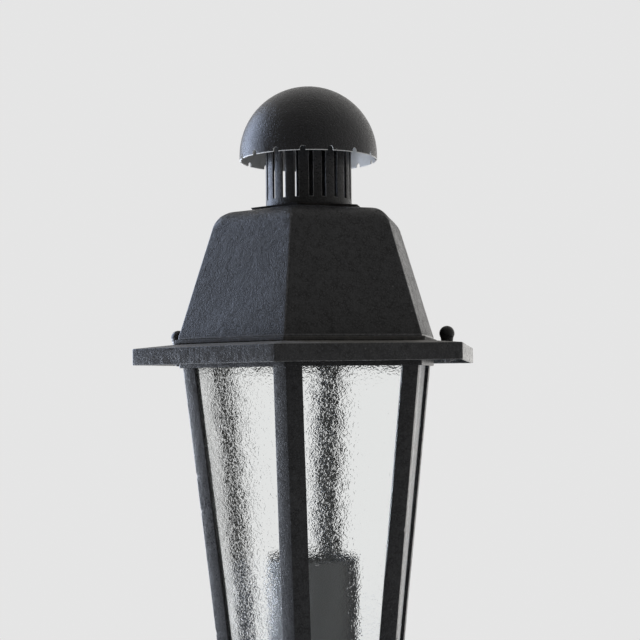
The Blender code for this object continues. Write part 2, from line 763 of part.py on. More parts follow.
def build():
    clear_scene()
    parts = new_collection("bollard_light")
    cutters = new_collection("cutters")

    build_base_plate(parts, cutters)
    build_post_tube(parts)
    build_socket(parts, cutters)
    build_set_screws(parts, cutters)

    build_tray(parts)
    for number in range(1, HEX + 1):
        build_corner_post(number, parts)
        build_glazing_strip(number, parts)
        build_glass_pane(number, parts)
    build_top_rail(parts)

    can_floor_top = build_lamp_can(parts)
    build_cable_gland(can_floor_top, parts)
    build_lampholder(can_floor_top, parts)
    build_lamp(parts)

    build_lid_seal(parts)
    build_rim(parts, cutters)
    foot_ring_top = build_foot_ring(parts)
    build_roof(foot_ring_top + GAP, parts)
    plate_top = build_top_plate(parts, cutters)
    build_chimney(plate_top + GAP, parts, cutters)
    build_dome(parts, cutters)
    for side in ("left", "right"):
        build_lid_bracket(side, parts, cutters)
        build_bracket_nut(side, parts, cutters)
        build_knob(side, parts)
        build_stud_retainer(side, parts)


build()
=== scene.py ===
import math

import bmesh
import bpy
from mathutils import Matrix, Vector, noise


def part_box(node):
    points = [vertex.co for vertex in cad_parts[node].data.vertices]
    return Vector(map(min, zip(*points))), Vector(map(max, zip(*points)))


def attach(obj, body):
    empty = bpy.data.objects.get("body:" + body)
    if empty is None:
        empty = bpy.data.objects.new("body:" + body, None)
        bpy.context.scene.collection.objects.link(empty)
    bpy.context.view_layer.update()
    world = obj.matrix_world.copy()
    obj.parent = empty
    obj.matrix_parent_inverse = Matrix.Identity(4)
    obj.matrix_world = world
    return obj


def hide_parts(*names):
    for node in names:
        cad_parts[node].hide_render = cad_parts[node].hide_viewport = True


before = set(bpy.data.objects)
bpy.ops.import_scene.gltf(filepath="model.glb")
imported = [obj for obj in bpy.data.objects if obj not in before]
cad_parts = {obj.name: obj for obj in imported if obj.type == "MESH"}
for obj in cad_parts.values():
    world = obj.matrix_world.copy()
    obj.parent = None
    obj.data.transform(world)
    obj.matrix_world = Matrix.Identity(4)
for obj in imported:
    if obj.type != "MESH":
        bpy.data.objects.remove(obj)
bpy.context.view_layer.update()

MM = 0.001
HEX = 6
COS30 = math.cos(math.radians(30))
TAN30 = math.tan(math.radians(30))

# ---------------------------------------------------------------------------------------------
# Levels and sizes, read from the CAD nodes

RIM_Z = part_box("rim_tray")[0][2]


def low(node):
    return Vector(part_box(node)[0])


def high(node):
    return Vector(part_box(node)[1])


def at(height):
    """World height of a point given as a height above the lower edge of the rim."""
    return RIM_Z + height


def span(node):
    """Lowest and highest point of a node, as heights above the lower edge of the rim."""
    return low(node).z - RIM_Z, high(node).z - RIM_Z


BODY_R_AT_RIM = 116.5 * MM
BODY_TAPER = 0.120
BODY_TOP = 4.0 * MM
BODY_BOTTOM = -296.7 * MM
POST_FLANGE = 14.0 * MM
POST_WALL = 3.0 * MM
STRIP_REACH = 11.0 * MM
STRIP_WALL = 1.5 * MM
GLASS_THICK = 4.0 * MM
GAP = 0.3 * MM
GLASS_RELIEF = 0.3 * MM
TUBE_R = 38.05 * MM               # the chimney and the lamp can
POST_R = 44.45 * MM
POST_BORE_R = 41.25 * MM


# ---------------------------------------------------------------------------------------------
# Shader helpers

class Graph:
    """Short names for building a node tree."""

    def __init__(self, tree, space):
        self.tree = tree
        self.coords = self.add("ShaderNodeTexCoord").outputs[space]

    def add(self, kind, **settings):
        node = self.tree.nodes.new(kind)
        for key, value in settings.items():
            setattr(node, key, value)
        return node

    def link(self, source, target):
        self.tree.links.new(source, target)

    def feed(self, socket, value):
        if isinstance(value, bpy.types.NodeSocket):
            self.link(value, socket)
        else:
            socket.default_value = value

    def fill(self, node, **values):
        """Sets or links the inputs of a node, which are named with _ for a space."""
        for name, value in values.items():
            self.feed(node.inputs[name.replace("_", " ")], value)

    def noise(self, scale, detail=3.0, rough=0.55, stretch=None, distortion=0.0):
        place = self.coords
        if stretch is not None:
            mapping = self.add("ShaderNodeMapping")
            self.fill(mapping, Vector=self.coords, Scale=stretch)
            place = mapping.outputs["Vector"]
        node = self.add("ShaderNodeTexNoise")
        self.fill(node, Vector=place, Scale=scale, Detail=detail, Roughness=rough, Distortion=distortion)
        return node.outputs["Fac"]

    def voronoi(self, scale, feature="F1", place=None):
        node = self.add("ShaderNodeTexVoronoi", feature=feature)
        self.fill(node, Vector=place or self.coords, Scale=scale)
        return node

    def ramp(self, value, stops):
        node = self.add("ShaderNodeValToRGB")
        elements = node.color_ramp.elements
        while len(elements) < len(stops):
            elements.new(0.5)
        for element, (position, colour) in zip(elements, stops):
            element.position = position
            element.color = (*colour, 1.0)
        self.link(value, node.inputs["Fac"])
        return node.outputs["Color"]

    def remap(self, value, from_low, from_high, to_low, to_high, way="LINEAR"):
        node = self.add("ShaderNodeMapRange", clamp=True, interpolation_type=way)
        self.fill(node, Value=value, From_Min=from_low, From_Max=from_high, To_Min=to_low, To_Max=to_high)
        return node.outputs["Result"]

    def facing(self, start, end, towards_viewer, edge_on):
        """A value that changes as the surface turns edge-on, between two shares of the turn."""
        turning = self.add("ShaderNodeLayerWeight")
        self.fill(turning, Blend=0.5)
        return self.remap(turning.outputs["Facing"], start, end, towards_viewer, edge_on)

    def maths(self, operation, first, second):
        node = self.add("ShaderNodeMath", operation=operation)
        self.feed(node.inputs[0], first)
        self.feed(node.inputs[1], second)
        return node.outputs[0]

    def mix(self, factor, first, second):
        node = self.add("ShaderNodeMix", data_type="RGBA")
        self.feed(node.inputs["Factor"], factor)
        self.feed(node.inputs[6], first)
        self.feed(node.inputs[7], second)
        return node.outputs[2]

    def blend_shaders(self, share, first, second):
        node = self.add("ShaderNodeMixShader")
        for socket, value in zip(node.inputs, (share, first, second)):
            self.link(value, socket)
        return node.outputs[0]


class Nodes(Graph):
    """A material with its Principled shader."""

    def __init__(self, name):
        self.material = bpy.data.materials.new(name)
        self.material.use_nodes = True
        super().__init__(self.material.node_tree, "Object")
        self.shader = self.tree.nodes["Principled BSDF"]

    def bump(self, *layers):
        """layers: (height, depth in metres), each one laid over the one before."""
        normal = None
        for height, depth in layers:
            node = self.add("ShaderNodeBump")
            self.fill(node, Height=height, Strength=1.0, Distance=depth)
            if normal is not None:
                self.link(normal, node.inputs["Normal"])
            normal = node.outputs["Normal"]
        self.link(normal, self.shader.inputs["Normal"])

    def set(self, **values):
        self.fill(self.shader, **values)

    def colour(self, value):
        self.set(Base_Color=value)

    def rough(self, value):
        self.set(Roughness=value)

    def surface(self, shader_output):
        self.link(shader_output, self.tree.nodes["Material Output"].inputs["Surface"])

    def shine(self, level, limb):
        """Reflection of the lacquer; limb is the share that is left where the surface turns away."""
        share = level if limb == 1.0 else self.facing(0.5, 0.95, level, level * limb)
        self.set(Specular_IOR_Level=share)


CREASE_BEND = (0.004, 0.004, 0.004)
DUSTY = (0.20, 0.20, 0.19, 1.0)
BARE_SPOT = (0.2, 0.2, 0.2, 1.0)
DOME_SPOT = (0.22, 0.22, 0.22, 1.0)


def crackle(n, grain):
    """Short broken creases: 1 on the open paint, 0 in the creases."""
    shift = n.add("ShaderNodeTexNoise")
    n.fill(shift, Vector=n.coords, Scale=grain * 0.4)
    bent = n.add("ShaderNodeVectorMath", operation="MULTIPLY_ADD")
    for socket, value in zip(bent.inputs, (shift.outputs["Color"], CREASE_BEND, n.coords)):
        n.feed(socket, value)
    cells = n.voronoi(grain * 0.5, "DISTANCE_TO_EDGE", bent.outputs[0])
    open_paint = n.remap(cells.outputs["Distance"], 0.03, 0.16, 0.0, 1.0)
    present = n.remap(n.noise(grain * 0.22, 2.0), 0.4, 0.62, 0.0, 1.0)
    return n.maths("MAXIMUM", open_paint, n.maths("SUBTRACT", 1.0, present))


def chip_mask(n, scale, amount):
    """Sparse small spots, 1 inside a chip."""
    spots = n.remap(n.voronoi(scale).outputs["Distance"], 0.05, 0.08, 1.0, 0.0)
    chosen = n.remap(n.noise(scale * 0.55, 1.0), 0.60, 0.63, 0.0, amount)
    return n.maths("MULTIPLY", spots, chosen)


def black_paint(name, grain=450.0, relief=0.00022, base=0.024, dust=0.05, chips=0.5, gloss=(0.24, 0.36),
                crease=0.00012, shine=0.5, limb=1.0):
    """Satin black enamel with a fine leathery skin, broken creases darkened as painted shade, faint dust
    and small chips.
    """
    n = Nodes(name)
    n.shine(shine, limb)
    skin = n.noise(grain, 2.0, 0.5, distortion=0.6)
    fine = n.noise(grain * 2.6, 2.0, 0.5)
    broad = n.noise(24.0, 4.0, 0.6)
    creases = crackle(n, grain)
    tint = n.ramp(skin, [(0.3, (base * 0.6, base * 0.61, base * 0.66)),
                         (0.7, (base * 1.4, base * 1.41, base * 1.48))])
    dust_and_highlight = n.remap(broad, 0.45, 0.75, 0.0, dust)
    tone = n.mix(dust_and_highlight, tint, DUSTY)
    # painted shade: the creases are darkened to a third of the base tone
    tone = n.mix(creases, (base * 0.3, base * 0.3, base * 0.32, 1.0), tone)
    n.colour(n.mix(chip_mask(n, 110.0, chips), tone, BARE_SPOT))
    sheen = n.remap(n.maths("ADD", broad, skin), 0.7, 1.3, gloss[0], gloss[1])
    n.rough(n.maths("ADD", sheen, n.remap(creases, 0.0, 1.0, 0.22, 0.0)))
    n.bump((broad, 0.0012), (skin, relief), (creases, crease), (fine, relief * 0.22))
    return n.material


def blotchy_paint(name, dark, light, gloss=(0.5, 0.75)):
    """Paint with blotchy patches and grit in its tone; it serves for grime and, on the rim's land and
    slope, for a paler painted highlight.
    """
    n = Nodes(name)
    patches = n.noise(130.0, 5.0, 0.65)
    grit = n.noise(700.0, 3.0, 0.6)
    blotches = n.maths("ADD", n.maths("MULTIPLY", patches, 0.65), n.maths("MULTIPLY", grit, 0.35))
    n.colour(n.ramp(blotches, [(0.38, dark), (0.64, light)]))
    n.rough(n.remap(patches, 0.3, 0.7, gloss[0], gloss[1]))
    n.bump((patches, 0.0006), (grit, 0.00016))
    return n.material


def dome_paint(name):
    """Sand-textured satin black that sparkles where it catches the light."""
    n = Nodes(name)
    n.shine(0.48, 0.06)
    sand = n.noise(760.0, 2.0, 0.6)
    broad = n.noise(30.0, 3.0, 0.6)
    pits = n.remap(n.voronoi(420.0).outputs["Distance"], 0.0, 0.35, 0.0, 1.0)
    tone = n.ramp(sand, [(0.32, (0.006, 0.006, 0.007)), (0.68, (0.024, 0.024, 0.027))])
    n.colour(n.mix(chip_mask(n, 120.0, 0.7), tone, DOME_SPOT))
    n.rough(n.remap(n.maths("ADD", broad, sand), 0.7, 1.3, 0.22, 0.34))
    n.bump((broad, 0.001), (sand, 0.00042), (pits, 0.0002))
    return n.material


def mottled(name, patches, stops, gloss, relief, grain=None, metal=0.0):
    """Patches that differ in tone and gloss; grain is the noise of the relief, if not the patches' own."""
    n = Nodes(name)
    broad = n.noise(*patches)
    n.colour(n.ramp(broad, stops))
    n.set(Metallic=metal)
    n.rough(n.remap(broad, 0.3, 0.7, *gloss))
    n.bump((n.noise(*grain) if grain else broad, relief))
    return n.material


def edge_wear_highlight(name, dark, light):
    """Paint rubbed thin along an edge, and paler there as a painted highlight."""
    return mottled(name, (420.0, 4.0, 0.7), [(0.4, dark), (0.68, light)], (0.3, 0.45), 0.0001)


def moulded(name, tone, gloss):
    dark = tuple(value * 0.85 for value in tone)
    return mottled(name, (80.0, 3.0, 0.6), [(0.3, dark), (0.7, tone)], gloss, 0.00001, (2200.0, 2.0, 0.6))


def grey_tube(name):
    """Satin dark grey tube of the lamp can; its colour darkens as painted shade where the tube turns
    edge-on.
    """
    n = Nodes(name)
    streak = n.noise(70.0, 4.0, 0.6, stretch=(1.0, 1.0, 0.12))
    fine = n.noise(900.0, 3.0, 0.6)
    tone = n.ramp(streak, [(0.3, (0.18, 0.18, 0.182)), (0.7, (0.225, 0.225, 0.227))])
    # limb is a darker copy of the tone: painted shade where the tube turns edge-on
    limb = n.ramp(streak, [(0.3, (0.03, 0.03, 0.032)), (0.7, (0.055, 0.055, 0.058))])
    n.colour(n.mix(n.facing(0.16, 0.5, 0.0, 1.0), tone, limb))
    n.set(Specular_IOR_Level=0.1)
    n.rough(n.remap(streak, 0.3, 0.7, 0.42, 0.56))
    n.bump((streak, 0.00015), (fine, 0.00003))
    return n.material


def zinc(name, dark, light, metal):
    n = Nodes(name)
    spangle = n.voronoi(380.0).outputs["Distance"]
    fine = n.noise(1500.0, 3.0, 0.6)
    n.colour(n.ramp(spangle, [(0.0, dark), (0.8, light)]))
    n.set(Metallic=metal)
    n.rough(n.remap(fine, 0.3, 0.7, 0.26, 0.42))
    n.bump((fine, 0.00002))
    return n.material


def rubber(name):
    n = Nodes(name)
    cells = n.voronoi(1500.0).outputs["Distance"]
    broad = n.noise(90.0, 3.0)
    n.colour(n.ramp(broad, [(0.3, (0.012, 0.012, 0.012)), (0.7, (0.03, 0.03, 0.03))]))
    n.rough(n.remap(broad, 0.3, 0.7, 0.75, 0.92))
    n.bump((cells, 0.0001))
    return n.material


def clear_for_shadows(n, glass):
    """Lets light pass straight through the glass, so that what is behind it is lit."""
    rays = n.add("ShaderNodeLightPath")
    clear = n.add("ShaderNodeBsdfTransparent")
    n.fill(clear, Color=(0.93, 0.95, 0.94, 1.0))
    light_ray = n.maths("MAXIMUM", rays.outputs["Is Shadow Ray"], rays.outputs["Is Diffuse Ray"])
    n.surface(n.blend_shaders(light_ray, glass, clear.outputs[0]))


def dust_film(n, glass):
    """Thin dust on glass, which shows only at a glancing angle."""
    dust = n.add("ShaderNodeBsdfDiffuse")
    specks = n.noise(420.0, 3.0, 0.6)
    n.fill(dust, Color=n.ramp(specks, [(0.4, (0.72, 0.72, 0.71)), (0.6, (0.98, 0.98, 0.97))]))
    return n.blend_shaders(n.facing(0.72, 0.88, 0.0, 0.88), glass, dust.outputs[0])


GLASS_IOR = 1.48


def pane_glass(name, relief):
    """Clear glass; relief is the depth of the fine hammering of the face.

    A ray that already runs inside the glass sees a plain refracting face, with no reflection or dust."""
    n = Nodes(name)
    n.set(Transmission_Weight=1.0, IOR=GLASS_IOR)
    haze = n.noise(40.0, 3.0)
    n.colour(n.ramp(haze, [(0.3, (0.985, 0.992, 0.988)), (0.7, (0.995, 0.998, 0.995))]))
    rough = n.remap(haze, 0.3, 0.7, 0.0, 0.02)
    n.rough(rough)
    swell = n.noise(75.0, 1.0, 0.5)
    ripple = n.noise(400.0, 1.0, 0.42, stretch=(1.0, 1.0, 1.1), distortion=1.1)
    n.bump((swell, relief * 1.6), (ripple, relief))
    bent = n.add("ShaderNodeBsdfRefraction")
    hammered = n.shader.inputs["Normal"].links[0].from_socket
    n.fill(bent, IOR=GLASS_IOR, Color=(0.996, 1.0, 0.998, 1.0), Roughness=rough, Normal=hammered)
    rays = n.add("ShaderNodeLightPath")
    dust_and_highlight = dust_film(n, n.shader.outputs[0])
    clear_for_shadows(n, n.blend_shaders(rays.outputs["Is Transmission Ray"], dust_and_highlight, bent.outputs[0]))
    return n.material


def lens_glass(name):
    n = Nodes(name)
    n.set(Transmission_Weight=0.9, IOR=GLASS_IOR)
    cells = n.voronoi(420.0, "SMOOTH_F1")
    n.fill(cells, Smoothness=0.6)
    pebbles = cells.outputs["Distance"]
    n.colour(n.ramp(pebbles, [(0.0, (0.88, 0.90, 0.90)), (1.0, (0.95, 0.96, 0.96))]))
    n.rough(n.remap(pebbles, 0.0, 1.0, 0.2, 0.35))
    n.bump((pebbles, 0.0004))
    clear_for_shadows(n, n.shader.outputs[0])
    return n.material


ROOF_PAINT = black_paint("paint_roof", grain=760.0, relief=0.0003, base=0.034, dust=0.04,
                         gloss=(0.27, 0.4), crease=0.00009, shine=0.32, limb=0.2)
RIM_PAINT = black_paint("paint_rim", grain=760.0, relief=0.00014, base=0.038, gloss=(0.2, 0.32),
                        crease=0.00006, shine=0.38)
POST_PAINT = black_paint("paint_posts", grain=760.0, relief=0.00013, base=0.0295, chips=0.9, crease=0.00006,
                         shine=0.28, limb=0.6)
CHIMNEY_PAINT = black_paint("paint_chimney", grain=700.0, relief=0.00014, base=0.017, dust=0.02,
                            shine=0.34, limb=0.5)
LOWER_PAINT = black_paint("paint_lower", grain=600.0, relief=0.00015, dust=0.1)
INSIDE_PAINT = blotchy_paint("paint_inside", (0.12, 0.12, 0.118), (0.21, 0.21, 0.206), (0.45, 0.65))
# paler, blotchy paint on the rim's land and slope: a painted highlight along the rim's top
RIM_TOP_HIGHLIGHT = blotchy_paint("paint_rim_top_highlight", (0.08, 0.078, 0.074), (0.22, 0.21, 0.2))
GRIMY_PAINT = blotchy_paint("paint_grimy", (0.014, 0.014, 0.014), (0.060, 0.056, 0.052))
DOME_PAINT = dome_paint("paint_dome")
# paler edge paint: worn paint, and a painted highlight along the chimney's broken edges and the rim's lower
# bends
EDGE_WEAR_HIGHLIGHT = edge_wear_highlight("paint_edge_wear_highlight", (0.05, 0.05, 0.052), (0.20, 0.195, 0.19))
# paler hip paint: a painted highlight line along the roof's hips and lower hem
HIP_HIGHLIGHT = edge_wear_highlight("paint_hip_highlight", (0.035, 0.036, 0.04), (0.12, 0.12, 0.125))
CUT_METAL = mottled("metal_cut_edge", (1200.0, 3.0, 0.6),        # bare where the shears cut it
                    [(0.35, (0.72, 0.72, 0.70)), (0.7, (0.94, 0.94, 0.92))], (0.35, 0.55), 0.00005,
                    metal=0.15)
INSIDE_GREY = mottled("paint_dome_inside", (60.0, 4.0, 0.6),
                      [(0.3, (0.70, 0.70, 0.68)), (0.7, (0.86, 0.86, 0.85))], (0.4, 0.55), 0.00006,
                      (800.0, 3.0, 0.6))
CAN_GREY = grey_tube("metal_can")
ZINC = zinc("metal_zinc", (0.50, 0.50, 0.52), (0.68, 0.68, 0.69), 1.0)
DULL_ZINC = zinc("metal_zinc_dull", (0.05, 0.05, 0.055), (0.10, 0.10, 0.105), 0.3)
RUBBER = rubber("rubber_seal")
BLACK_PLASTIC = moulded("plastic_black", (0.035, 0.035, 0.036), (0.35, 0.5))
WHITE_PLASTIC = moulded("plastic_white", (0.78, 0.78, 0.76), (0.25, 0.35))
PORCELAIN = moulded("porcelain", (0.82, 0.81, 0.77), (0.12, 0.22))
GLASS_INNER = pane_glass("glass_hammered", GLASS_RELIEF)
GLASS_OUTER = pane_glass("glass_outer_face", GLASS_RELIEF * 0.05)
LENS = lens_glass("glass_lens")


# ---------------------------------------------------------------------------------------------
# Mesh helpers

def around(radius, angle, height):
    return (radius * math.cos(angle), radius * math.sin(angle), height)


def scratch_object(name, shape, materials=()):
    mesh = bpy.data.meshes.new(name)
    shape.to_mesh(mesh)
    shape.free()
    obj = bpy.data.objects.new(name, mesh)
    bpy.context.scene.collection.objects.link(obj)
    for material in materials:
        mesh.materials.append(material)
    return obj


def closed_object(name, shape, materials=()):
    bmesh.ops.recalc_face_normals(shape, faces=shape.faces)
    return scratch_object(name, shape, materials)


def finish_object(obj, body, node, sharp=40.0):
    """Shades the mesh smooth up to an angle, hangs it under its body's empty and hides the CAD node that it
    stands for.
    """
    for polygon in obj.data.polygons:
        polygon.use_smooth = True
    obj.data.set_sharp_from_angle(angle=math.radians(sharp))
    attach(obj, body)
    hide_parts(node)


def add_piece(name, shape, materials, body, node, sharp=32.0):
    finish_object(closed_object(name, shape, materials), body, node, sharp)


def baked(obj):
    """Replaces an object's mesh with its evaluated one and drops the modifiers."""
    depsgraph = bpy.context.evaluated_depsgraph_get()
    mesh = bpy.data.meshes.new_from_object(obj.evaluated_get(depsgraph))
    old = obj.data
    obj.modifiers.clear()
    obj.data = mesh
    bpy.data.meshes.remove(old)


def modify(obj, kind, **settings):
    modifier = obj.modifiers.new(kind.lower(), kind)
    for key, value in settings.items():
        setattr(modifier, key, value)


def cut_with(obj, cutter):
    modify(obj, "BOOLEAN", solver="EXACT", operation="DIFFERENCE", object=cutter)
    baked(obj)
    data = cutter.data
    bpy.data.objects.remove(cutter)
    bpy.data.meshes.remove(data)


def drill(obj, places, radius, depth, segments=32):
    """Cuts a round hole at each place, which is a matrix whose Z runs along the hole."""
    holes = bmesh.new()
    for place in places:
        bmesh.ops.create_cone(holes, cap_ends=True, segments=segments, radius1=radius, radius2=radius,
                              depth=depth, matrix=place)
    cut_with(obj, scratch_object("hole_cutter", holes))


def sideways(turn, reach, height):
    """A place on the side of the axis, with its Z pointing outwards at that turn in degrees."""
    angle = math.radians(turn)
    return (Matrix.Translation(around(reach, angle, height)) @ Matrix.Rotation(angle, 4, "Z")
            @ Matrix.Rotation(math.pi / 2, 4, "Y"))


def ring_of(shape, outline, height):
    return [shape.verts.new((point.x, point.y, height)) for point in outline]


def join_rings(shape, rings, closed=True, paint=None):
    """Fills the bands between rings; closed also joins the last to the first.

    paint gives the material slot of each band."""
    bands = list(zip(rings, rings[1:] + rings[:1]))
    for number, (lower, upper) in enumerate(bands if closed else bands[:-1]):
        for index, corner in enumerate(lower):
            after = (index + 1) % len(lower)
            face = shape.faces.new((corner, lower[after], upper[after], upper[index]))
            if paint is not None:
                face.material_index = paint(number)


def refine(shape, length):
    """Splits edges longer than the given length, so that a warp has points to move."""
    for _ in range(6):
        long_edges = [edge for edge in shape.edges if edge.calc_length() > length]
        if not long_edges:
            break
        bmesh.ops.subdivide_edges(shape, edges=long_edges, cuts=1, use_grid_fill=True)


def warp(vertices, amount, scale, seed):
    """Moves points by a smooth vector field, the same on both sides of a wall."""
    offset = Vector((seed * 3.17, seed * 1.91, seed * 2.53))
    apart = Vector((7.3, -11.9, 5.1))
    for vertex in vertices:
        place = vertex.co * scale + offset
        field = Vector([noise.noise(place + apart * axis) for axis in range(3)])
        vertex.co += field * amount


def arc(centre_x, centre_z, radius, start, end, count):
    points = []
    for index in range(count + 1):
        angle = math.radians(start + (end - start) * index / count)
        points.append((centre_x + radius * math.cos(angle), centre_z + radius * math.sin(angle)))
    return points


def bend(start, corner, end, count):
    """Points on a smooth bend that replaces a corner."""
    shares = [step / count for step in range(count + 1)]
    return [start * (1 - t) ** 2 + corner * 2 * t * (1 - t) + end * t ** 2 for t in shares]


def rounded(profile, radii, count):
    """Rounds the corners of a closed profile; radii holds one radius per corner, or is one for all."""
    points = []
    for index, spot in enumerate(profile):
        here = Vector(spot)
        to_before = Vector(profile[index - 1]) - here
        to_after = Vector(profile[(index + 1) % len(profile)]) - here
        radius = radii[index] if isinstance(radii, list) else radii
        reach = min(to_before.length, to_after.length) * 0.45
        first = to_before.normalized()
        second = to_after.normalized()
        setback = min(radius / math.tan(first.angle(second) / 2), reach)
        curve = bend(here + first * setback, here, here + second * setback, count)
        points += [tuple(point) for point in curve]
    return points


def section(inner, outer, bottom, top):
    """Rectangle of (radius, height) points, from the inner top corner outwards and round."""
    return [(inner, top), (outer, top), (outer, bottom), (inner, bottom)]


def turned_shape(profile, steps, closed=True, lift=RIM_Z):
    """Revolves (radius, height) points; points on the axis become single vertices."""
    shape = bmesh.new()
    columns = []
    poles = {}
    for step in range(steps):
        angle = 2 * math.pi * step / steps
        column = []
        for index, (radius, height) in enumerate(profile):
            if radius < 1e-7:
                if index not in poles:
                    poles[index] = shape.verts.new((0.0, 0.0, height + lift))
                column.append(poles[index])
            else:
                column.append(shape.verts.new(around(radius, angle, height + lift)))
        columns.append(column)
    pairs = [(i, i + 1) for i in range(len(profile) - 1)]
    if closed:
        pairs.append((len(profile) - 1, 0))
    for left, right in zip(columns, columns[1:] + columns[:1]):
        for a, b in pairs:
            corners = []
            for vertex in (left[a], right[a], right[b], left[b]):
                if vertex not in corners:
                    corners.append(vertex)
            if len(corners) >= 3:
                shape.faces.new(corners)
    return shape


def turned(name, profile, material, body, node, steps=96, closed=True,
           sharp=35.0, off_axis=0.0, lift=RIM_Z, wobble=0.0):
    shape = turned_shape(profile, steps, closed, lift)
    if wobble:
        warp(shape.verts, wobble, 28.0, 5)
    bmesh.ops.translate(shape, verts=shape.verts, vec=Vector((off_axis, 0.0, 0.0)))
    add_piece(name, shape, [material], body, node, sharp)


def hex_outline(radius, corner_round, cell, reach):
    """Points round a hexagon with a corner towards -Y; corners bent, sides cut into short cells."""
    points = []
    for corner in range(HEX):
        angle = math.radians(-90.0 + 60.0 * corner)
        here, before, after = (
            Vector((math.cos(angle + turn), math.sin(angle + turn))) * radius
            for turn in (0.0, -math.pi / 3, math.pi / 3))
        start = here + (before - here).normalized() * corner_round
        end = here + (after - here).normalized() * corner_round
        points += bend(start, here, end, 5)
        next_start = after + (here - after).normalized() * corner_round
        cuts = max(1, int((reach - 2 * corner_round) / cell))
        points += [end.lerp(next_start, step / cuts) for step in range(1, cuts)]
    return points


def hex_shape(profile, corner_round, cell, wobble, seed, paint=None):
    """A closed (radius, height) profile carried round a hexagon, its corners bent to a small radius.

    Each side is cut into short cells, so that the wall can be slightly uneven."""
    shape = bmesh.new()
    reach = max(radius for radius, _ in profile)
    rings = [ring_of(shape, hex_outline(radius, corner_round, cell, reach), at(height))
             for radius, height in profile]
    join_rings(shape, rings, paint=paint)
    warp(shape.verts, wobble, 16.0, seed)
    return shape


def prism(shape, outline, near, far, transform):
    corners = [shape.verts.new((near, y, z)) for y, z in outline]
    face = shape.faces.new(corners)
    swept = bmesh.ops.extrude_face_region(shape, geom=[face])
    moved = [item for item in swept["geom"] if isinstance(item, bmesh.types.BMVert)]
    bmesh.ops.translate(shape, verts=moved, vec=Vector((far - near, 0.0, 0.0)))
    bmesh.ops.transform(shape, matrix=transform, verts=corners + moved)


# ---------------------------------------------------------------------------------------------
# Dome, chimney and roof

DOME_R = 61.0 * MM
DOME_WALL = 1.3 * MM
DOME_RIM = 179.5 * MM
DOME_SKIRT = 4.7 * MM
NOTCHES = 16
NOTCH_WIDTH = 4.8 * MM
NOTCH_HEIGHT = 4.0 * MM
NOTCH_TURN = 5.4


def build_dome():
    centre = DOME_RIM + DOME_SKIRT
    inner = DOME_R - DOME_WALL
    lip = 0.55 * MM
    profile = [(0.0, centre + DOME_R)]
    profile += arc(0.0, centre, DOME_R, 90.0, 0.0, 40)[1:]
    profile += [(DOME_R, DOME_RIM + 3 * MM), (DOME_R, DOME_RIM + lip), (DOME_R - lip, DOME_RIM),
                (inner + lip, DOME_RIM), (inner, DOME_RIM + lip), (inner, DOME_RIM + 3 * MM)]
    profile += arc(0.0, centre, inner, 0.0, 90.0, 40)[:-1]
    profile += [(0.0, centre + inner)]
    dome = closed_object("dome_spun", turned_shape(profile, 160, closed=False),
                         [DOME_PAINT, INSIDE_GREY, CUT_METAL])
    half = NOTCH_WIDTH / 2
    arch = DOME_RIM + NOTCH_HEIGHT - half
    outline = [(-half, at(DOME_RIM - 2 * MM)), (half, at(DOME_RIM - 2 * MM))]
    outline += [(y, at(z)) for y, z in arc(0.0, arch, half, 0.0, 180.0, 10)]
    notches = bmesh.new()
    for index in range(NOTCHES):
        angle = math.radians(NOTCH_TURN - 90.0 + 360.0 * index / NOTCHES)
        prism(notches, outline, inner - 4 * MM, DOME_R + 4 * MM, Matrix.Rotation(angle, 4, "Z"))
    cut_with(dome, closed_object("dome_notch_cutter", notches))
    middle = Vector((0.0, 0.0, at(centre)))
    tolerance = 0.22 * MM
    outside, inside, cut_edge = range(3)
    for polygon in dome.data.polygons:
        point = polygon.center
        radial = Vector((point.x, point.y, 0.0)).length
        distance = (point - middle).length if point.z > middle.z else radial
        if abs(distance - DOME_R) < tolerance and polygon.normal.dot(point - middle) > 0:
            polygon.material_index = outside
        elif abs(distance - inner) < tolerance:
            polygon.material_index = inside
        else:
            polygon.material_index = cut_edge
    finish_object(dome, "lid", "dome_cap", sharp=30.0)


CHIMNEY_WALL = 2.0 * MM
CHIMNEY_SLOTS = 20
SLOT_WIDTH = 3.8 * MM
SLOT_LOW = 143.6 * MM
SLOT_HIGH = 206.0 * MM
SLOT_TURN = 11.9
SLOT_DRIFT = (                    # degrees that each slot stands off its even place
    1.2, 0.3, 0.6, 1.6, -0.4, 0.5, -0.6, 0.4, 1.1, 1.4, 1.1, 0.6, -0.5, 0.4, -0.2, 0.5, -2.6, -0.4,
    -0.9, 0.2)


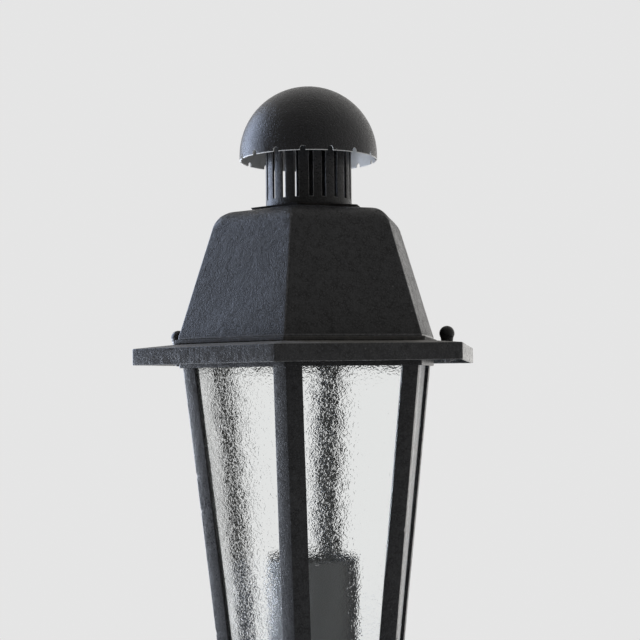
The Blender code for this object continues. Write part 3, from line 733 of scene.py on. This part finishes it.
def build_chimney():
    """Tube with square-ended slots, its edges broken so that they catch the light."""
    base = low("chimney_tube").z
    top = high("chimney_tube").z
    half = math.degrees(SLOT_WIDTH / 2 / TUBE_R)
    pitch = 360.0 / CHIMNEY_SLOTS
    angles = []
    for index in range(CHIMNEY_SLOTS):
        start = SLOT_TURN - 90.0 + pitch * index + SLOT_DRIFT[index]
        angles += [(start - half, True), (start - half / 3, True), (start + half / 3, True)]
        bar = pitch - 2 * half + SLOT_DRIFT[(index + 1) % CHIMNEY_SLOTS] - SLOT_DRIFT[index]
        angles += [(start + half + bar * step / 4, False) for step in range(4)]
    slot_low, slot_high = at(SLOT_LOW), at(SLOT_HIGH)
    levels = [base, at(SLOT_LOW - 3 * MM), slot_low, slot_low + 18 * MM,
              slot_high - 18 * MM, slot_high, top]
    shape = bmesh.new()
    rows = [[shape.verts.new(around(TUBE_R, math.radians(turn), level)) for turn, _ in angles]
            for level in levels]
    for level, lower, upper in zip(levels, rows, rows[1:]):
        slotted = slot_low - 1e-6 < level < slot_high - 1e-6
        for index, (_, in_slot) in enumerate(angles):
            if slotted and in_slot:
                continue
            after = (index + 1) % len(angles)
            shape.faces.new((lower[index], lower[after], upper[after], upper[index]))
    loose = [vertex for vertex in shape.verts if not vertex.link_faces]
    bmesh.ops.delete(shape, geom=loose, context="VERTS")
    chimney = scratch_object("chimney_slotted_tube", shape, [CHIMNEY_PAINT, EDGE_WEAR_HIGHLIGHT])
    modify(chimney, "SOLIDIFY", thickness=CHIMNEY_WALL, offset=-1.0)
    # the bevels take the paler edge paint, a painted highlight along the broken edges
    modify(chimney, "BEVEL", width=0.35 * MM, segments=2, limit_method="ANGLE",
           angle_limit=math.radians(50.0), material=1)
    baked(chimney)
    finish_object(chimney, "lid", "chimney_tube")


ROOF_BASE_R = 120.1 * MM
ROOF_TOP_R = 84.5 * MM
ROOF_TOP_Z = 130.1 * MM
ROOF_SEAT_R = 54.5 * MM
ROOF_SEAT_Z = 133.9 * MM
ROOF_HOLE_R = 44.0 * MM
ROOF_WALL = 2.0 * MM


def build_roof():
    base, _ = span("roof_shell")
    levels = [(ROOF_BASE_R, base), (ROOF_BASE_R, base + 1.5 * MM), (ROOF_TOP_R, ROOF_TOP_Z),
              (ROOF_SEAT_R, ROOF_SEAT_Z), (ROOF_HOLE_R, ROOF_SEAT_Z)]
    turns = [math.radians(-90.0 + 60.0 * index) for index in range(HEX)]
    shape = bmesh.new()
    weight = shape.edges.layers.float.new("bevel_weight_edge")
    rows = [[shape.verts.new(around(radius, turn, at(height))) for turn in turns]
            for radius, height in levels]
    join_rings(shape, rows, closed=False)
    for index in range(HEX):
        shape.edges.get((rows[2][index], rows[2][(index + 1) % HEX]))[weight] = 1.0
        for lower, upper in zip(rows[:3], rows[1:4]):
            shape.edges.get((lower[index], upper[index]))[weight] = 0.09
    roof = scratch_object("roof_cast_shell", shape, [ROOF_PAINT, GRIMY_PAINT, HIP_HIGHLIGHT])
    modify(roof, "BEVEL", width=11.5 * MM, segments=10, limit_method="WEIGHT")
    modify(roof, "SOLIDIFY", thickness=ROOF_WALL, offset=-1.0, use_even_offset=True)
    baked(roof)
    fine = bmesh.new()
    fine.from_mesh(roof.data)
    refine(fine, 7 * MM)
    warp(fine.verts, 0.35 * MM, 22.0, 4)
    hem = at(base + 1.6 * MM)
    side_turn = 11.0                  # degrees; a face turned further from its side is on a hip
    wear_and_highlight = 2
    # the hem and the hips get the paler hip paint, a painted highlight line
    for face in fine.faces:
        if face.calc_center_median().z < hem and face.normal.z < 0.3:
            face.material_index = wear_and_highlight
        elif abs(face.normal.z) < 0.6:
            angle = math.degrees(math.atan2(face.normal.y, face.normal.x))
            if abs((angle + 90.0) % 60.0 - 30.0) > side_turn:
                face.material_index = wear_and_highlight
    fine.to_mesh(roof.data)
    fine.free()
    finish_object(roof, "lid", "roof_shell", sharp=30.0)


def build_foot_ring():
    profile = rounded(section(106.0 * MM, 123.0 * MM, *span("roof_foot_ring")),
                      [0.3 * MM, 1.0 * MM, 0.8 * MM, 0.3 * MM], 6)
    shape = hex_shape(profile, 1.2 * MM, 8 * MM, 0.1 * MM, 7)
    add_piece("roof_foot_bead", shape, [GRIMY_PAINT], "lid", "roof_foot_ring")


RIM_R = 160.0 * MM
RIM_HEIGHT = 13.9 * MM
RIM_LAND_R = 123.6 * MM
RIM_LAND_Z = 17.1 * MM
RIM_INNER_R = 104.0 * MM
RIM_FASCIA = 2.1 * MM
SHEET = 1.5 * MM
KNOB_OFFSET = 120.3 * MM
STUD_HOLE_R = 3.35 * MM
RIM_SET = {-30.0: 1.0 * MM, 30.0: -0.9 * MM, 210.0: -0.5 * MM}   # corners a little out of level
CORNER_POINTS = 5                 # points that rounded() puts at each corner of the rim's section
SIDES = {"left": -1.0, "right": 1.0}


def build_rim():
    slope = (RIM_LAND_Z - RIM_HEIGHT) / (RIM_R - RIM_LAND_R)
    outer = RIM_R - 0.12 * MM         # leaves room inside the CAD's box for the unevenness
    inner = outer - RIM_FASCIA
    profile = [
        (RIM_INNER_R, RIM_LAND_Z), (RIM_LAND_R, RIM_LAND_Z), (outer, RIM_HEIGHT), (outer, 0.0),
        (inner, 0.0), (inner, RIM_HEIGHT + slope * RIM_FASCIA - SHEET),
        (RIM_LAND_R, RIM_LAND_Z - SHEET), (RIM_INNER_R, RIM_LAND_Z - SHEET),
    ]
    radii = [0.3 * MM, 1.0 * MM, 1.1 * MM, 0.5 * MM, 0.5 * MM, 0.6 * MM, 1.0 * MM, 0.3 * MM]
    outline = rounded(profile, radii, CORNER_POINTS - 1)

    def paint(band):
        """Paler paint as a painted highlight on the land and the slope, worn paint with a painted highlight
        on the bends at the fascia's foot, else plain.
        """
        plain, dust_and_highlight, wear_and_highlight = range(3)
        corner = (band + 1) / CORNER_POINTS
        if corner <= 2.0:
            return dust_and_highlight
        return wear_and_highlight if 3.0 < corner < 4.0 or 4.0 < corner < 5.0 else plain

    rim = closed_object("rim_pressed_tray", hex_shape(outline, 1.3 * MM, 4 * MM, 0.12 * MM, 3, paint),
                        [RIM_PAINT, RIM_TOP_HIGHLIGHT, EDGE_WEAR_HIGHLIGHT])
    for vertex in rim.data.vertices:
        radius = math.hypot(vertex.co.x, vertex.co.y)
        share = min(1.0, max(0.0, (radius - RIM_LAND_R * COS30) / (RIM_R * COS30 - RIM_LAND_R * COS30)))
        angle = math.degrees(math.atan2(vertex.co.y, vertex.co.x))
        for corner, lift in RIM_SET.items():
            off = abs((angle - corner + 180.0) % 360.0 - 180.0)
            vertex.co.z += lift * share * max(0.0, 1.0 - off / 60.0)
    drill(rim, [Matrix.Translation((sign * KNOB_OFFSET, 0.0, at(15 * MM))) for sign in SIDES.values()],
          STUD_HOLE_R, 12 * MM)
    finish_object(rim, "lid", "rim_tray")


def build_knob(side, sign):
    ball = 6.6 * MM
    neck = 5.2 * MM
    centre = 24.5 * MM
    foot = 16.6 * MM
    join = math.degrees(math.acos(neck / ball))
    bore = 3.3 * MM
    ceiling = foot + 5.3 * MM
    profile = [(0.0, centre + ball)]
    profile += arc(0.0, centre, ball, 90.0, -join + 6.0, 28)[1:]
    profile += [(neck + 0.05 * MM, centre - 5.5 * MM), (neck, centre - 6.2 * MM),
                (neck, foot + 0.3 * MM), (neck - 0.3 * MM, foot), (bore, foot),
                (bore, ceiling), (0.0, ceiling)]
    turned(f"knob_ball_{side}", profile, CHIMNEY_PAINT, f"knob_{side}", f"lid_knob_{side}",
           steps=64, closed=False, off_axis=sign * KNOB_OFFSET, sharp=40.0)
    stud_top = foot + 5.0 * MM
    stud_low = -1.0 * MM
    radius = 3.0 * MM
    profile = [(0.0, stud_top), (radius, stud_top), (radius, foot)]
    thread = 0.8 * MM
    turns = int((foot - stud_low - 1.6 * MM) / thread)
    for index in range(turns):
        top = foot - index * thread
        profile += [(radius, top - 0.1 * MM), (radius - 0.42 * MM, top - 0.4 * MM),
                    (radius, top - 0.7 * MM)]
    profile += [(radius - 0.9 * MM, stud_low), (0.0, stud_low)]
    turned(f"knob_stud_threaded_{side}", profile, DULL_ZINC, f"knob_{side}", f"knob_stud_{side}",
           steps=40, closed=False, off_axis=sign * KNOB_OFFSET, sharp=30.0)


def build_top_plate():
    """Hexagonal plate with a round hole, its sheared edge leaning in underneath."""
    low_z = low("chimney_plate").z
    high_z = high("chimney_plate").z
    radius = 54.2 * MM
    hole = 36.05 * MM
    outline = hex_outline(radius, 0.8 * MM, 4 * MM, radius)
    round_outline = [point.normalized() * hole for point in outline]
    shape = bmesh.new()
    rings = [ring_of(shape, round_outline, low_z)]
    for outer, height in ((radius - 1.7 * MM, low_z), (radius - 0.25 * MM, high_z - 0.35 * MM),
                          (radius, high_z - 0.1 * MM), (radius - 0.3 * MM, high_z)):
        rings.append(ring_of(shape, [point * (outer / radius) for point in outline], height))
    rings.append(ring_of(shape, round_outline, high_z))
    join_rings(shape, rings)
    add_piece("chimney_seat_plate", shape, [GRIMY_PAINT], "lid", "chimney_plate", sharp=30.0)


# ---------------------------------------------------------------------------------------------
# Lantern body

def body_radius(height):
    return BODY_R_AT_RIM + BODY_TAPER * height


def angle_outline(corner_r, flange, wall, radii):
    """Level section of a 120 degree angle, its outer corner on +X, all corners softened."""
    half = 0.5
    side = COS30
    points = [
        (corner_r, 0.0),
        (corner_r - flange * half, flange * side),
        (corner_r - flange * half - wall * side, flange * side - wall * half),
        (corner_r - wall / side, 0.0),
        (corner_r - flange * half - wall * side, -flange * side + wall * half),
        (corner_r - flange * half, -flange * side),
    ]
    return rounded(points, radii, 3)


NICKS = {                         # on each corner post: (height, depth, distance from its corner)
    1: ((-95 * MM, 0.8 * MM, -1 * MM), (-158 * MM, 1.0 * MM, -7 * MM), (-112 * MM, 0.5 * MM, 1 * MM)),
    2: ((-140 * MM, 0.7 * MM, 0.0),),
    4: ((-60 * MM, 0.8 * MM, 0.0), (-190 * MM, 0.7 * MM, 0.0)),
    6: ((-95 * MM, 0.6 * MM, 0.0), (-125 * MM, 0.45 * MM, 0.0), (-228 * MM, 0.4 * MM, 0.0)),
}


NICK_LENGTH = 2.6 * MM            # each way from its middle
NICK_WIDTH = 4.5 * MM


def swept_angle(name, number, inset, flange, wall, radii, material, node, nicks=()):
    """A 120 degree angle that stands in one corner of the tapering body."""
    sections = 220 if nicks else 110
    turn = Matrix.Rotation(math.radians(-90.0 + 60.0 * (number - 1)), 4, "Z")
    shape = bmesh.new()
    rows = []
    for step in range(sections + 1):
        height = BODY_BOTTOM + (BODY_TOP - BODY_BOTTOM) * step / sections
        reach = body_radius(height) - inset
        row = []
        for x, y in angle_outline(reach, flange, wall, radii):
            for nick_height, depth, side in nicks:
                off = abs(height - nick_height) / NICK_LENGTH
                corner = math.hypot(x - reach, y - side) / NICK_WIDTH
                if off < 1.0 and corner < 1.0:
                    x -= depth * (1.0 - off * off) * (1.0 - corner * corner)
            row.append(shape.verts.new(turn @ Vector((x, y, at(height)))))
        rows.append(row)
    join_rings(shape, rows, closed=False)
    shape.faces.new(list(reversed(rows[0])))
    shape.faces.new(rows[-1])
    warp(shape.verts, 0.16 * MM, 20.0, 11 + number)
    add_piece(name, shape, [material], "bollard", node, sharp=38.0)


def build_corner_post(number):
    radii = [1.5 * MM, 0.7 * MM, 0.4 * MM, 0.8 * MM, 0.4 * MM, 0.7 * MM]
    swept_angle(f"post_angle_{number}", number, 0.0, POST_FLANGE, POST_WALL, radii, POST_PAINT,
                f"corner_post_{number}", NICKS.get(number, ()))


def build_glazing_strip(number):
    inset = (POST_WALL + GLASS_THICK + 2 * GAP) / COS30
    radii = [0.8 * MM, 0.4 * MM, 0.3 * MM, 0.4 * MM, 0.3 * MM, 0.4 * MM]
    swept_angle(f"glazing_angle_{number}", number, inset, STRIP_REACH - inset / 2, STRIP_WALL, radii,
                INSIDE_PAINT, f"glazing_strip_{number}")


def build_rail():
    """Folded ring under the rim that ties the tops of the posts."""
    outer = 119.6 * MM
    inner = outer - 2.0 * MM
    lip = 103.0 * MM
    bottom = -3.2 * MM
    top = 11.0 * MM
    under = top - 2.0 * MM
    profile = rounded([(lip, top), (outer, top), (outer, bottom), (inner, bottom), (inner, under),
                       (lip, under)], [0.4 * MM, 1.4 * MM, 0.5 * MM, 0.5 * MM, 0.6 * MM, 0.4 * MM], 3)
    shape = hex_shape(profile, 1.8 * MM, 6 * MM, 0.12 * MM, 21)
    add_piece("rail_folded_ring", shape, [POST_PAINT], "bollard", "top_rail")


def build_bracket(side, sign):
    """Welded shelf with a rounded front and a hole for the knob's stud."""
    node = f"lid_bracket_{side}"
    start, end = low(node), high(node)
    shape = bmesh.new()
    bmesh.ops.create_cube(shape, size=1.0)
    size = end - start
    bmesh.ops.scale(shape, verts=shape.verts, vec=size)
    bmesh.ops.translate(shape, verts=shape.verts, vec=(start + end) / 2)
    upright = [edge for edge in shape.edges
               if abs(edge.verts[0].co.z - edge.verts[1].co.z) > 1 * MM
               and sign * edge.verts[0].co.x > sign * (start.x + end.x) / 2]
    bmesh.ops.bevel(shape, geom=upright, offset=5 * MM, segments=8, affect="EDGES", profile=0.5)
    bmesh.ops.bevel(shape, geom=shape.edges[:], offset=0.4 * MM, segments=2, affect="EDGES", profile=0.5)
    bracket = scratch_object(f"bracket_shelf_{side}", shape, [POST_PAINT])
    drill(bracket, [Matrix.Translation((sign * KNOB_OFFSET, 0.0, (start.z + end.z) / 2))],
          STUD_HOLE_R, 12 * MM)
    finish_object(bracket, "bollard", node, sharp=35.0)


def build_nut(side, sign):
    """Hexagon nut with chamfered corners."""
    node = f"bracket_nut_{side}"
    low_z, high_z = low(node).z, high(node).z
    across = 5.8 * MM
    face = 5.0 * MM
    chamfer = 0.5 * MM
    shape = bmesh.new()
    rings = []
    for radius, height in ((STUD_HOLE_R, low_z + chamfer), (3.8 * MM, low_z), (face, low_z),
                           (across, low_z + chamfer), (across, high_z - chamfer), (face, high_z),
                           (3.8 * MM, high_z), (STUD_HOLE_R, high_z - chamfer)):
        ring = []
        for point in hex_outline(across, 0.4 * MM, 1.2 * MM, across):
            spot = point if radius == across else point.normalized() * radius
            ring.append(shape.verts.new((spot.x + sign * KNOB_OFFSET, spot.y, height)))
        rings.append(ring)
    join_rings(shape, rings)
    add_piece(f"nut_hexagon_{side}", shape, [DULL_ZINC], "bollard", node, sharp=30.0)


PANE_SWELL = 1.8 * MM             # most that the inner face falls in, in broad swells
PANE_HAMMER = 0.06 * MM           # and in small dents


def build_pane(number):
    """Glass pane with a flat outer face and an uneven inner face; each takes its own part of the noise."""
    across, up = 76, 200
    turn = Matrix.Rotation(math.radians(-60.0 + 60.0 * (number - 1)), 4, "Z")
    shape = bmesh.new()
    grid = []
    rim_spots = {}
    for row in range(up + 1):
        height = BODY_BOTTOM + (BODY_TOP - BODY_BOTTOM) * row / up
        outer = body_radius(height) * COS30 - POST_WALL - GAP
        half = (outer - GLASS_THICK) * TAN30 - 0.4 * MM
        line = []
        for column in range(across + 1):
            y = -half + 2 * half * column / across
            place = Vector((y, height, number * 0.031))
            swell = 0.5 + 0.5 * noise.noise(place * 16.0)
            hammer = 0.5 + 0.5 * noise.noise(place * 150.0)
            thin = PANE_SWELL * swell + PANE_HAMMER * hammer
            line.append(shape.verts.new(turn @ Vector((outer - GLASS_THICK + thin, y, at(height)))))
            if row in (0, up) or column in (0, across):
                rim_spots[row, column] = shape.verts.new(turn @ Vector((outer, y, at(height))))
        grid.append(line)
    for row in range(up):
        for column in range(across):
            shape.faces.new((grid[row][column], grid[row][column + 1],
                             grid[row + 1][column + 1], grid[row + 1][column]))
    border = [(0, column) for column in range(across)]
    border += [(row, across) for row in range(up)]
    border += [(up, column) for column in range(across, 0, -1)]
    border += [(row, 0) for row in range(up, 0, -1)]
    for index, here in enumerate(border):
        after = border[(index + 1) % len(border)]
        shape.faces.new((rim_spots[here], rim_spots[after],
                         grid[after[0]][after[1]], grid[here[0]][here[1]]))
    outer_face = shape.faces.new([rim_spots[spot] for spot in border])
    outer_face.material_index = 1
    add_piece(f"pane_hammered_{number}", shape, [GLASS_INNER, GLASS_OUTER], "bollard",
              f"glass_pane_{number}", sharp=60.0)


# ---------------------------------------------------------------------------------------------
# Lamp, tray, socket, post and foot

def build_can():
    can_low, can_top = span("lamp_can")
    outer = TUBE_R
    inner = outer - 1.5 * MM
    floor_top = can_low + 2.0 * MM
    hole = 8.3 * MM
    profile = rounded(
        [(inner, can_top), (outer, can_top), (outer, can_low), (hole, can_low), (hole, floor_top),
         (inner, floor_top)], [0.5 * MM, 0.5 * MM, 0.8 * MM, 0.2 * MM, 0.2 * MM, 1.0 * MM], 4)
    turned("can_spun_tube", profile, CAN_GREY, "bollard", "lamp_can", steps=128,
           wobble=0.1 * MM)


def build_gland():
    body = 8.0 * MM
    head = 11.0 * MM
    bore = 4.0 * MM
    tail, top = span("cable_gland")
    shoulder = top - 4.0 * MM
    profile = rounded([(bore, top), (head, top), (head, shoulder), (body, shoulder), (body, tail),
                       (bore, tail)],
                      [0.4 * MM, 1.0 * MM, 0.3 * MM, 0.2 * MM, 0.6 * MM, 0.3 * MM], 4)
    turned("gland_body", profile, BLACK_PLASTIC, "bollard", "cable_gland", steps=64)
    profile = rounded(section(8.3 * MM, 13.3 * MM, *span("gland_nut")), 0.6 * MM, 3)
    turned("gland_ring_nut", profile, BLACK_PLASTIC, "bollard", "gland_nut", steps=64)


def build_lampholder():
    foot, holder_top = span("lampholder")
    foot_top = foot + 2.0 * MM
    seat = holder_top - 34.0 * MM
    profile = [(0.0, seat)]
    profile += rounded(
        [(13.6 * MM, seat), (13.6 * MM, holder_top), (19.0 * MM, holder_top),
         (19.0 * MM, foot_top + 1.0 * MM), (28.0 * MM, foot_top), (28.0 * MM, foot),
         (12.0 * MM, foot), (14.0 * MM, foot_top + 1.0 * MM), (14.0 * MM, seat - 3.0 * MM)],
        [0.8 * MM, 1.0 * MM, 1.2 * MM, 2.0 * MM, 0.8 * MM, 0.5 * MM, 0.4 * MM, 0.6 * MM, 0.6 * MM], 4)
    profile += [(0.0, seat - 3.0 * MM)]
    turned("holder_porcelain", profile, PORCELAIN, "bollard", "lampholder", closed=False)


def build_lamp():
    """Reflector lamp with a screw cap."""
    cap_low, lamp_top = span("lamp_body")
    collar = span("lampholder")[1] + 2.0 * MM
    flare_top = lamp_top - 8.0 * MM
    radius = 32.0 * MM
    cap = 13.2 * MM
    profile = [(0.0, lamp_top)]
    profile += [(radius - 0.8 * MM, lamp_top), (radius - 0.2 * MM, lamp_top - 0.3 * MM),
                (radius, lamp_top - 0.9 * MM)]
    for step in range(21):
        share = step / 20
        profile.append((radius - (radius - 15.0 * MM) * share ** 1.6,
                        flare_top + (collar - flare_top) * share))
    profile += [(cap, collar - 1.5 * MM)]
    thread_top = collar - 3.0 * MM
    pitch = 3.6 * MM
    turns = int((thread_top - cap_low - 7.0 * MM) / pitch)
    for index in range(turns):
        for step in range(8):
            angle = 2 * math.pi * step / 8
            profile.append((cap - 0.45 * MM + 0.45 * MM * math.cos(angle),
                            thread_top - pitch * (index + step / 8)))
    profile += [(cap - 0.3 * MM, cap_low + 6.0 * MM), (6.0 * MM, cap_low + 0.6 * MM), (5.2 * MM, cap_low),
                (0.0, cap_low)]
    turned("lamp_reflector_body", profile, WHITE_PLASTIC, "lamp", "lamp_body",
           closed=False)


def build_lens():
    """Domed lens with a low rim, which closes the lamp."""
    base, top = span("lamp_lens")
    rise = top - base
    edge = 30.5 * MM
    rim = 1.5 * MM
    profile = [(0.0, base + rise)]
    for step in range(1, 16):
        share = step / 15
        profile.append((edge * share, base + rim + (rise - rim) * (1 - share ** 2)))
    profile += [(edge, base), (0.0, base)]
    turned("lamp_pebbled_lens", profile, LENS, "lamp", "lamp_lens", closed=False)


def build_seal():
    profile = rounded(section(106.5 * MM, 117.5 * MM, *span("lid_seal")), 0.8 * MM, 3)
    shape = hex_shape(profile, 2.0 * MM, 8 * MM, 0.05 * MM, 31)
    add_piece("seal_foam_ring", shape, [RUBBER], "bollard", "lid_seal")


def build_tray():
    outer = 85.5 * MM
    inner = outer - 2.0 * MM
    hole = 30.0 * MM
    floor_low = -300.0 * MM
    top = -284.0 * MM
    floor_top = floor_low + 3.0 * MM
    shape = bmesh.new()
    profile = rounded([(hole, floor_top), (inner, floor_top), (inner, top), (outer, top),
                       (outer, floor_low), (hole, floor_low)],
                      [0.3 * MM, 0.5 * MM, 0.5 * MM, 0.5 * MM, 0.8 * MM, 0.3 * MM], 3)
    between = 60 * MM                 # any radius between the round hole and the hexagonal wall
    rings = []
    for radius, height in profile:
        outline = hex_outline(max(radius, between), 1.6 * MM, 6 * MM, outer)
        if radius < between:
            outline = [point.normalized() * radius for point in outline]
        rings.append(ring_of(shape, outline, at(height)))
    join_rings(shape, rings)
    add_piece("tray_folded", shape, [LOWER_PAINT], "bollard", "bottom_tray", sharp=40.0)


SCREW_TURNS = (-90.0, 30.0, 150.0)
SCREW_Z = -348.0 * MM


def build_socket():
    """Cast socket: flange, hollow sweep into the sleeve, three tapped holes."""
    top = -300.3 * MM
    bottom = -370.0 * MM
    flange = 64.0 * MM
    sleeve = 50.0 * MM
    flange_low = top - 4.7 * MM
    cove = flange - sleeve
    seat = -320.3 * MM
    profile = [(20.4 * MM, top), (flange - 1.0 * MM, top), (flange - 0.3 * MM, top - 0.3 * MM),
               (flange, top - 1.0 * MM), (flange, flange_low + 0.6 * MM), (flange - 0.5 * MM, flange_low)]
    profile += arc(flange, flange_low - cove, cove, 97.0, 180.0, 16)
    profile += [(sleeve, bottom + 2.0 * MM), (sleeve - 0.6 * MM, bottom + 0.6 * MM),
                (sleeve - 2.0 * MM, bottom), (45.2 * MM, bottom), (44.8 * MM, bottom + 0.5 * MM),
                (44.8 * MM, seat), (20.0 * MM, seat), (20.0 * MM, top - 0.5 * MM)]
    socket = closed_object("socket_cast", turned_shape(profile, 128), [LOWER_PAINT])
    drill(socket, [sideways(turn, 48 * MM, at(SCREW_Z)) for turn in SCREW_TURNS], 3.3 * MM, 16 * MM)
    finish_object(socket, "bollard", "post_socket")


def build_set_screw(number):
    """Grub screw with a thread and a hexagon socket."""
    length = 6.6 * MM
    thread = 0.9 * MM
    radius = 3.0 * MM
    profile = [(0.0, 0.0), (radius - 0.8 * MM, 0.0)]
    for index in range(6):
        start = 0.5 * MM + index * thread
        profile += [(radius - 0.45 * MM, start), (radius, start + 0.35 * MM), (radius, start + 0.55 * MM)]
    profile += [(radius - 0.5 * MM, length)]
    key = 1.7 * MM
    shape = turned_shape(profile + [(key + 0.25 * MM, length)], 36, closed=False, lift=0.0)
    mouth = {vertex for edge in shape.edges if edge.is_boundary for vertex in edge.verts}
    mouth = sorted(mouth, key=lambda vertex: math.atan2(vertex.co.y, vertex.co.x))
    levels = [mouth]
    for height in (length - 0.15 * MM, length - 3.0 * MM):
        level = []
        for vertex in mouth:
            angle = math.atan2(vertex.co.y, vertex.co.x)
            reach = key * COS30 / math.cos((angle % (math.pi / 3)) - math.pi / 6)
            level.append(shape.verts.new(around(reach, angle, height)))
        levels.append(level)
    join_rings(shape, levels, closed=False)
    shape.faces.new(levels[-1])
    place = sideways(SCREW_TURNS[number - 1], POST_R + GAP, at(SCREW_Z))
    bmesh.ops.transform(shape, matrix=place, verts=shape.verts)
    add_piece(f"grub_screw_{number}", shape, [ZINC], "bollard", f"set_screw_{number}",
              sharp=35.0)


def build_retainer(side, sign):
    """Spring washer that holds the stud in the rim."""
    node = f"stud_retainer_{side}"
    outer = (high(node).x - low(node).x) / 2
    profile = rounded(section(3.3 * MM, outer, *span(node)), 0.25 * MM, 3)
    turned(f"retainer_washer_{side}", profile, ZINC, f"knob_{side}", node,
           steps=64, off_axis=sign * KNOB_OFFSET)


def build_post_tube():
    profile = rounded(section(POST_BORE_R, POST_R, low("post_tube").z, high("post_tube").z), 0.5 * MM, 3)
    turned("post_round_tube", profile, LOWER_PAINT, "bollard", "post_tube", steps=128, lift=0.0)


def build_base_plate():
    """Round plate on the ground, with four anchor holes."""
    profile = rounded(section(35.0 * MM, 110.0 * MM, 0.0, high("base_plate").z),
                      [0.8 * MM, 1.2 * MM, 0.4 * MM, 0.4 * MM], 3)
    plate = closed_object("foot_plate_round", turned_shape(profile, 128, lift=0.0), [LOWER_PAINT])
    turns = [math.radians(45.0 + 90.0 * index) for index in range(4)]
    drill(plate, [Matrix.Translation(around(88 * MM, turn, 5 * MM)) for turn in turns], 7 * MM, 40 * MM,
          segments=48)
    finish_object(plate, "bollard", "base_plate")


# ---------------------------------------------------------------------------------------------
# Studio

def build_floor():
    n = Nodes("floor_pale")
    grain = n.noise(3.0, 3.0)
    n.colour(n.ramp(grain, [(0.3, (0.76, 0.76, 0.755)), (0.7, (0.80, 0.80, 0.795))]))
    n.rough(n.remap(grain, 0.3, 0.7, 0.7, 0.85))
    shape = bmesh.new()
    bmesh.ops.create_circle(shape, cap_ends=True, segments=96, radius=2.1)
    scratch_object("floor", shape, [n.material])


def compass(azimuth, distance, height):
    """A point seen from the axis at an azimuth, which is 0 towards the front, -Y, and grows towards +X."""
    return around(distance, math.radians(azimuth - 90.0), height)


def build_world():
    """Pale room behind the bollard; its light is weaker in front and a little stronger at the back."""
    world = bpy.data.worlds.new("studio")
    bpy.context.scene.world = world
    world.use_nodes = True
    n = Graph(world.node_tree, "Generated")

    def towards(azimuth, tilt, low_dot, high_dot, low_value, high_value, way):
        dot = n.add("ShaderNodeVectorMath", operation="DOT_PRODUCT")
        n.feed(dot.inputs[0], n.coords)
        n.feed(dot.inputs[1], compass(azimuth, 1.0, tilt))
        return n.remap(dot.outputs["Value"], low_dot, high_dot, low_value, high_value, way)

    front = towards(-8.0, 0.25, -1.0, 0.93, 0.86, 0.2, "LINEAR")
    back = towards(172.0, -0.2, 0.82, 1.0, 0.0, 0.6, "SMOOTHSTEP")
    lighting = n.add("ShaderNodeBackground")
    n.fill(lighting, Color=(1.0, 0.985, 0.96, 1.0), Strength=n.maths("ADD", front, back))
    backdrop = n.tree.nodes["Background"]
    n.fill(backdrop, Color=(0.785, 0.785, 0.785, 1.0))
    rays = n.add("ShaderNodeLightPath")
    seen = n.maths("MAXIMUM", rays.outputs["Is Camera Ray"], rays.outputs["Is Transmission Ray"])
    n.link(n.blend_shaders(seen, lighting.outputs[0], backdrop.outputs[0]),
           n.tree.nodes["World Output"].inputs["Surface"])


def area_light(name, azimuth, distance, height, aim, size, power, colour):
    """A rectangular light of a given width and height; aim is the height that it faces on the axis."""
    light = bpy.data.lights.new(name, "AREA")
    light.shape = "RECTANGLE"
    light.size, light.size_y = size
    light.energy = power
    light.color = colour
    obj = bpy.data.objects.new(name, light)
    bpy.context.scene.collection.objects.link(obj)
    obj.location = compass(azimuth, distance, height)
    direction = Vector((0.0, 0.0, aim)) - obj.location
    obj.rotation_mode = "QUATERNION"
    obj.rotation_quaternion = direction.to_track_quat("-Z", "Y")


def build_lights():
    area_light("window", -112.0, 2.4, 1.35, 1.2, (2.3, 2.7), 76.0, (0.62, 0.74, 1.0))
    area_light("window_sill", -106.0, 2.2, 0.35, 0.9, (1.5, 0.6), 34.0, (0.86, 0.91, 1.0))


def build_camera():
    camera = bpy.data.cameras.new("camera")
    camera.sensor_width = 36.0
    camera.lens = 75.33
    obj = bpy.data.objects.new("camera", camera)
    bpy.context.scene.collection.objects.link(obj)
    bpy.context.scene.camera = obj
    heading = math.radians(9.457)
    pitch = math.radians(2.455)
    roll = math.radians(-0.696)
    obj.location = compass(9.873, 1.1824, at(-12.4 * MM))
    turn = (Matrix.Rotation(heading, 4, "Z") @ Matrix.Rotation(math.pi / 2 + pitch, 4, "X")
            @ Matrix.Rotation(roll, 4, "Z"))
    obj.rotation_mode = "QUATERNION"
    obj.rotation_quaternion = turn.to_quaternion()


bpy.context.scene.view_settings.view_transform = "Standard"
build_camera()
build_floor()
build_world()
build_lights()
build_dome()
build_chimney()
build_roof()
build_top_plate()
build_foot_ring()
build_rim()
for knob_side, knob_sign in SIDES.items():
    build_knob(knob_side, knob_sign)
    build_bracket(knob_side, knob_sign)
    build_nut(knob_side, knob_sign)
    build_retainer(knob_side, knob_sign)
for place in range(1, HEX + 1):
    build_corner_post(place)
    build_glazing_strip(place)
    build_pane(place)
build_rail()
build_can()
build_gland()
build_lampholder()
build_lamp()
build_lens()
build_seal()
build_tray()
build_socket()
for place in range(1, len(SCREW_TURNS) + 1):
    build_set_screw(place)
build_post_tube()
build_base_plate()
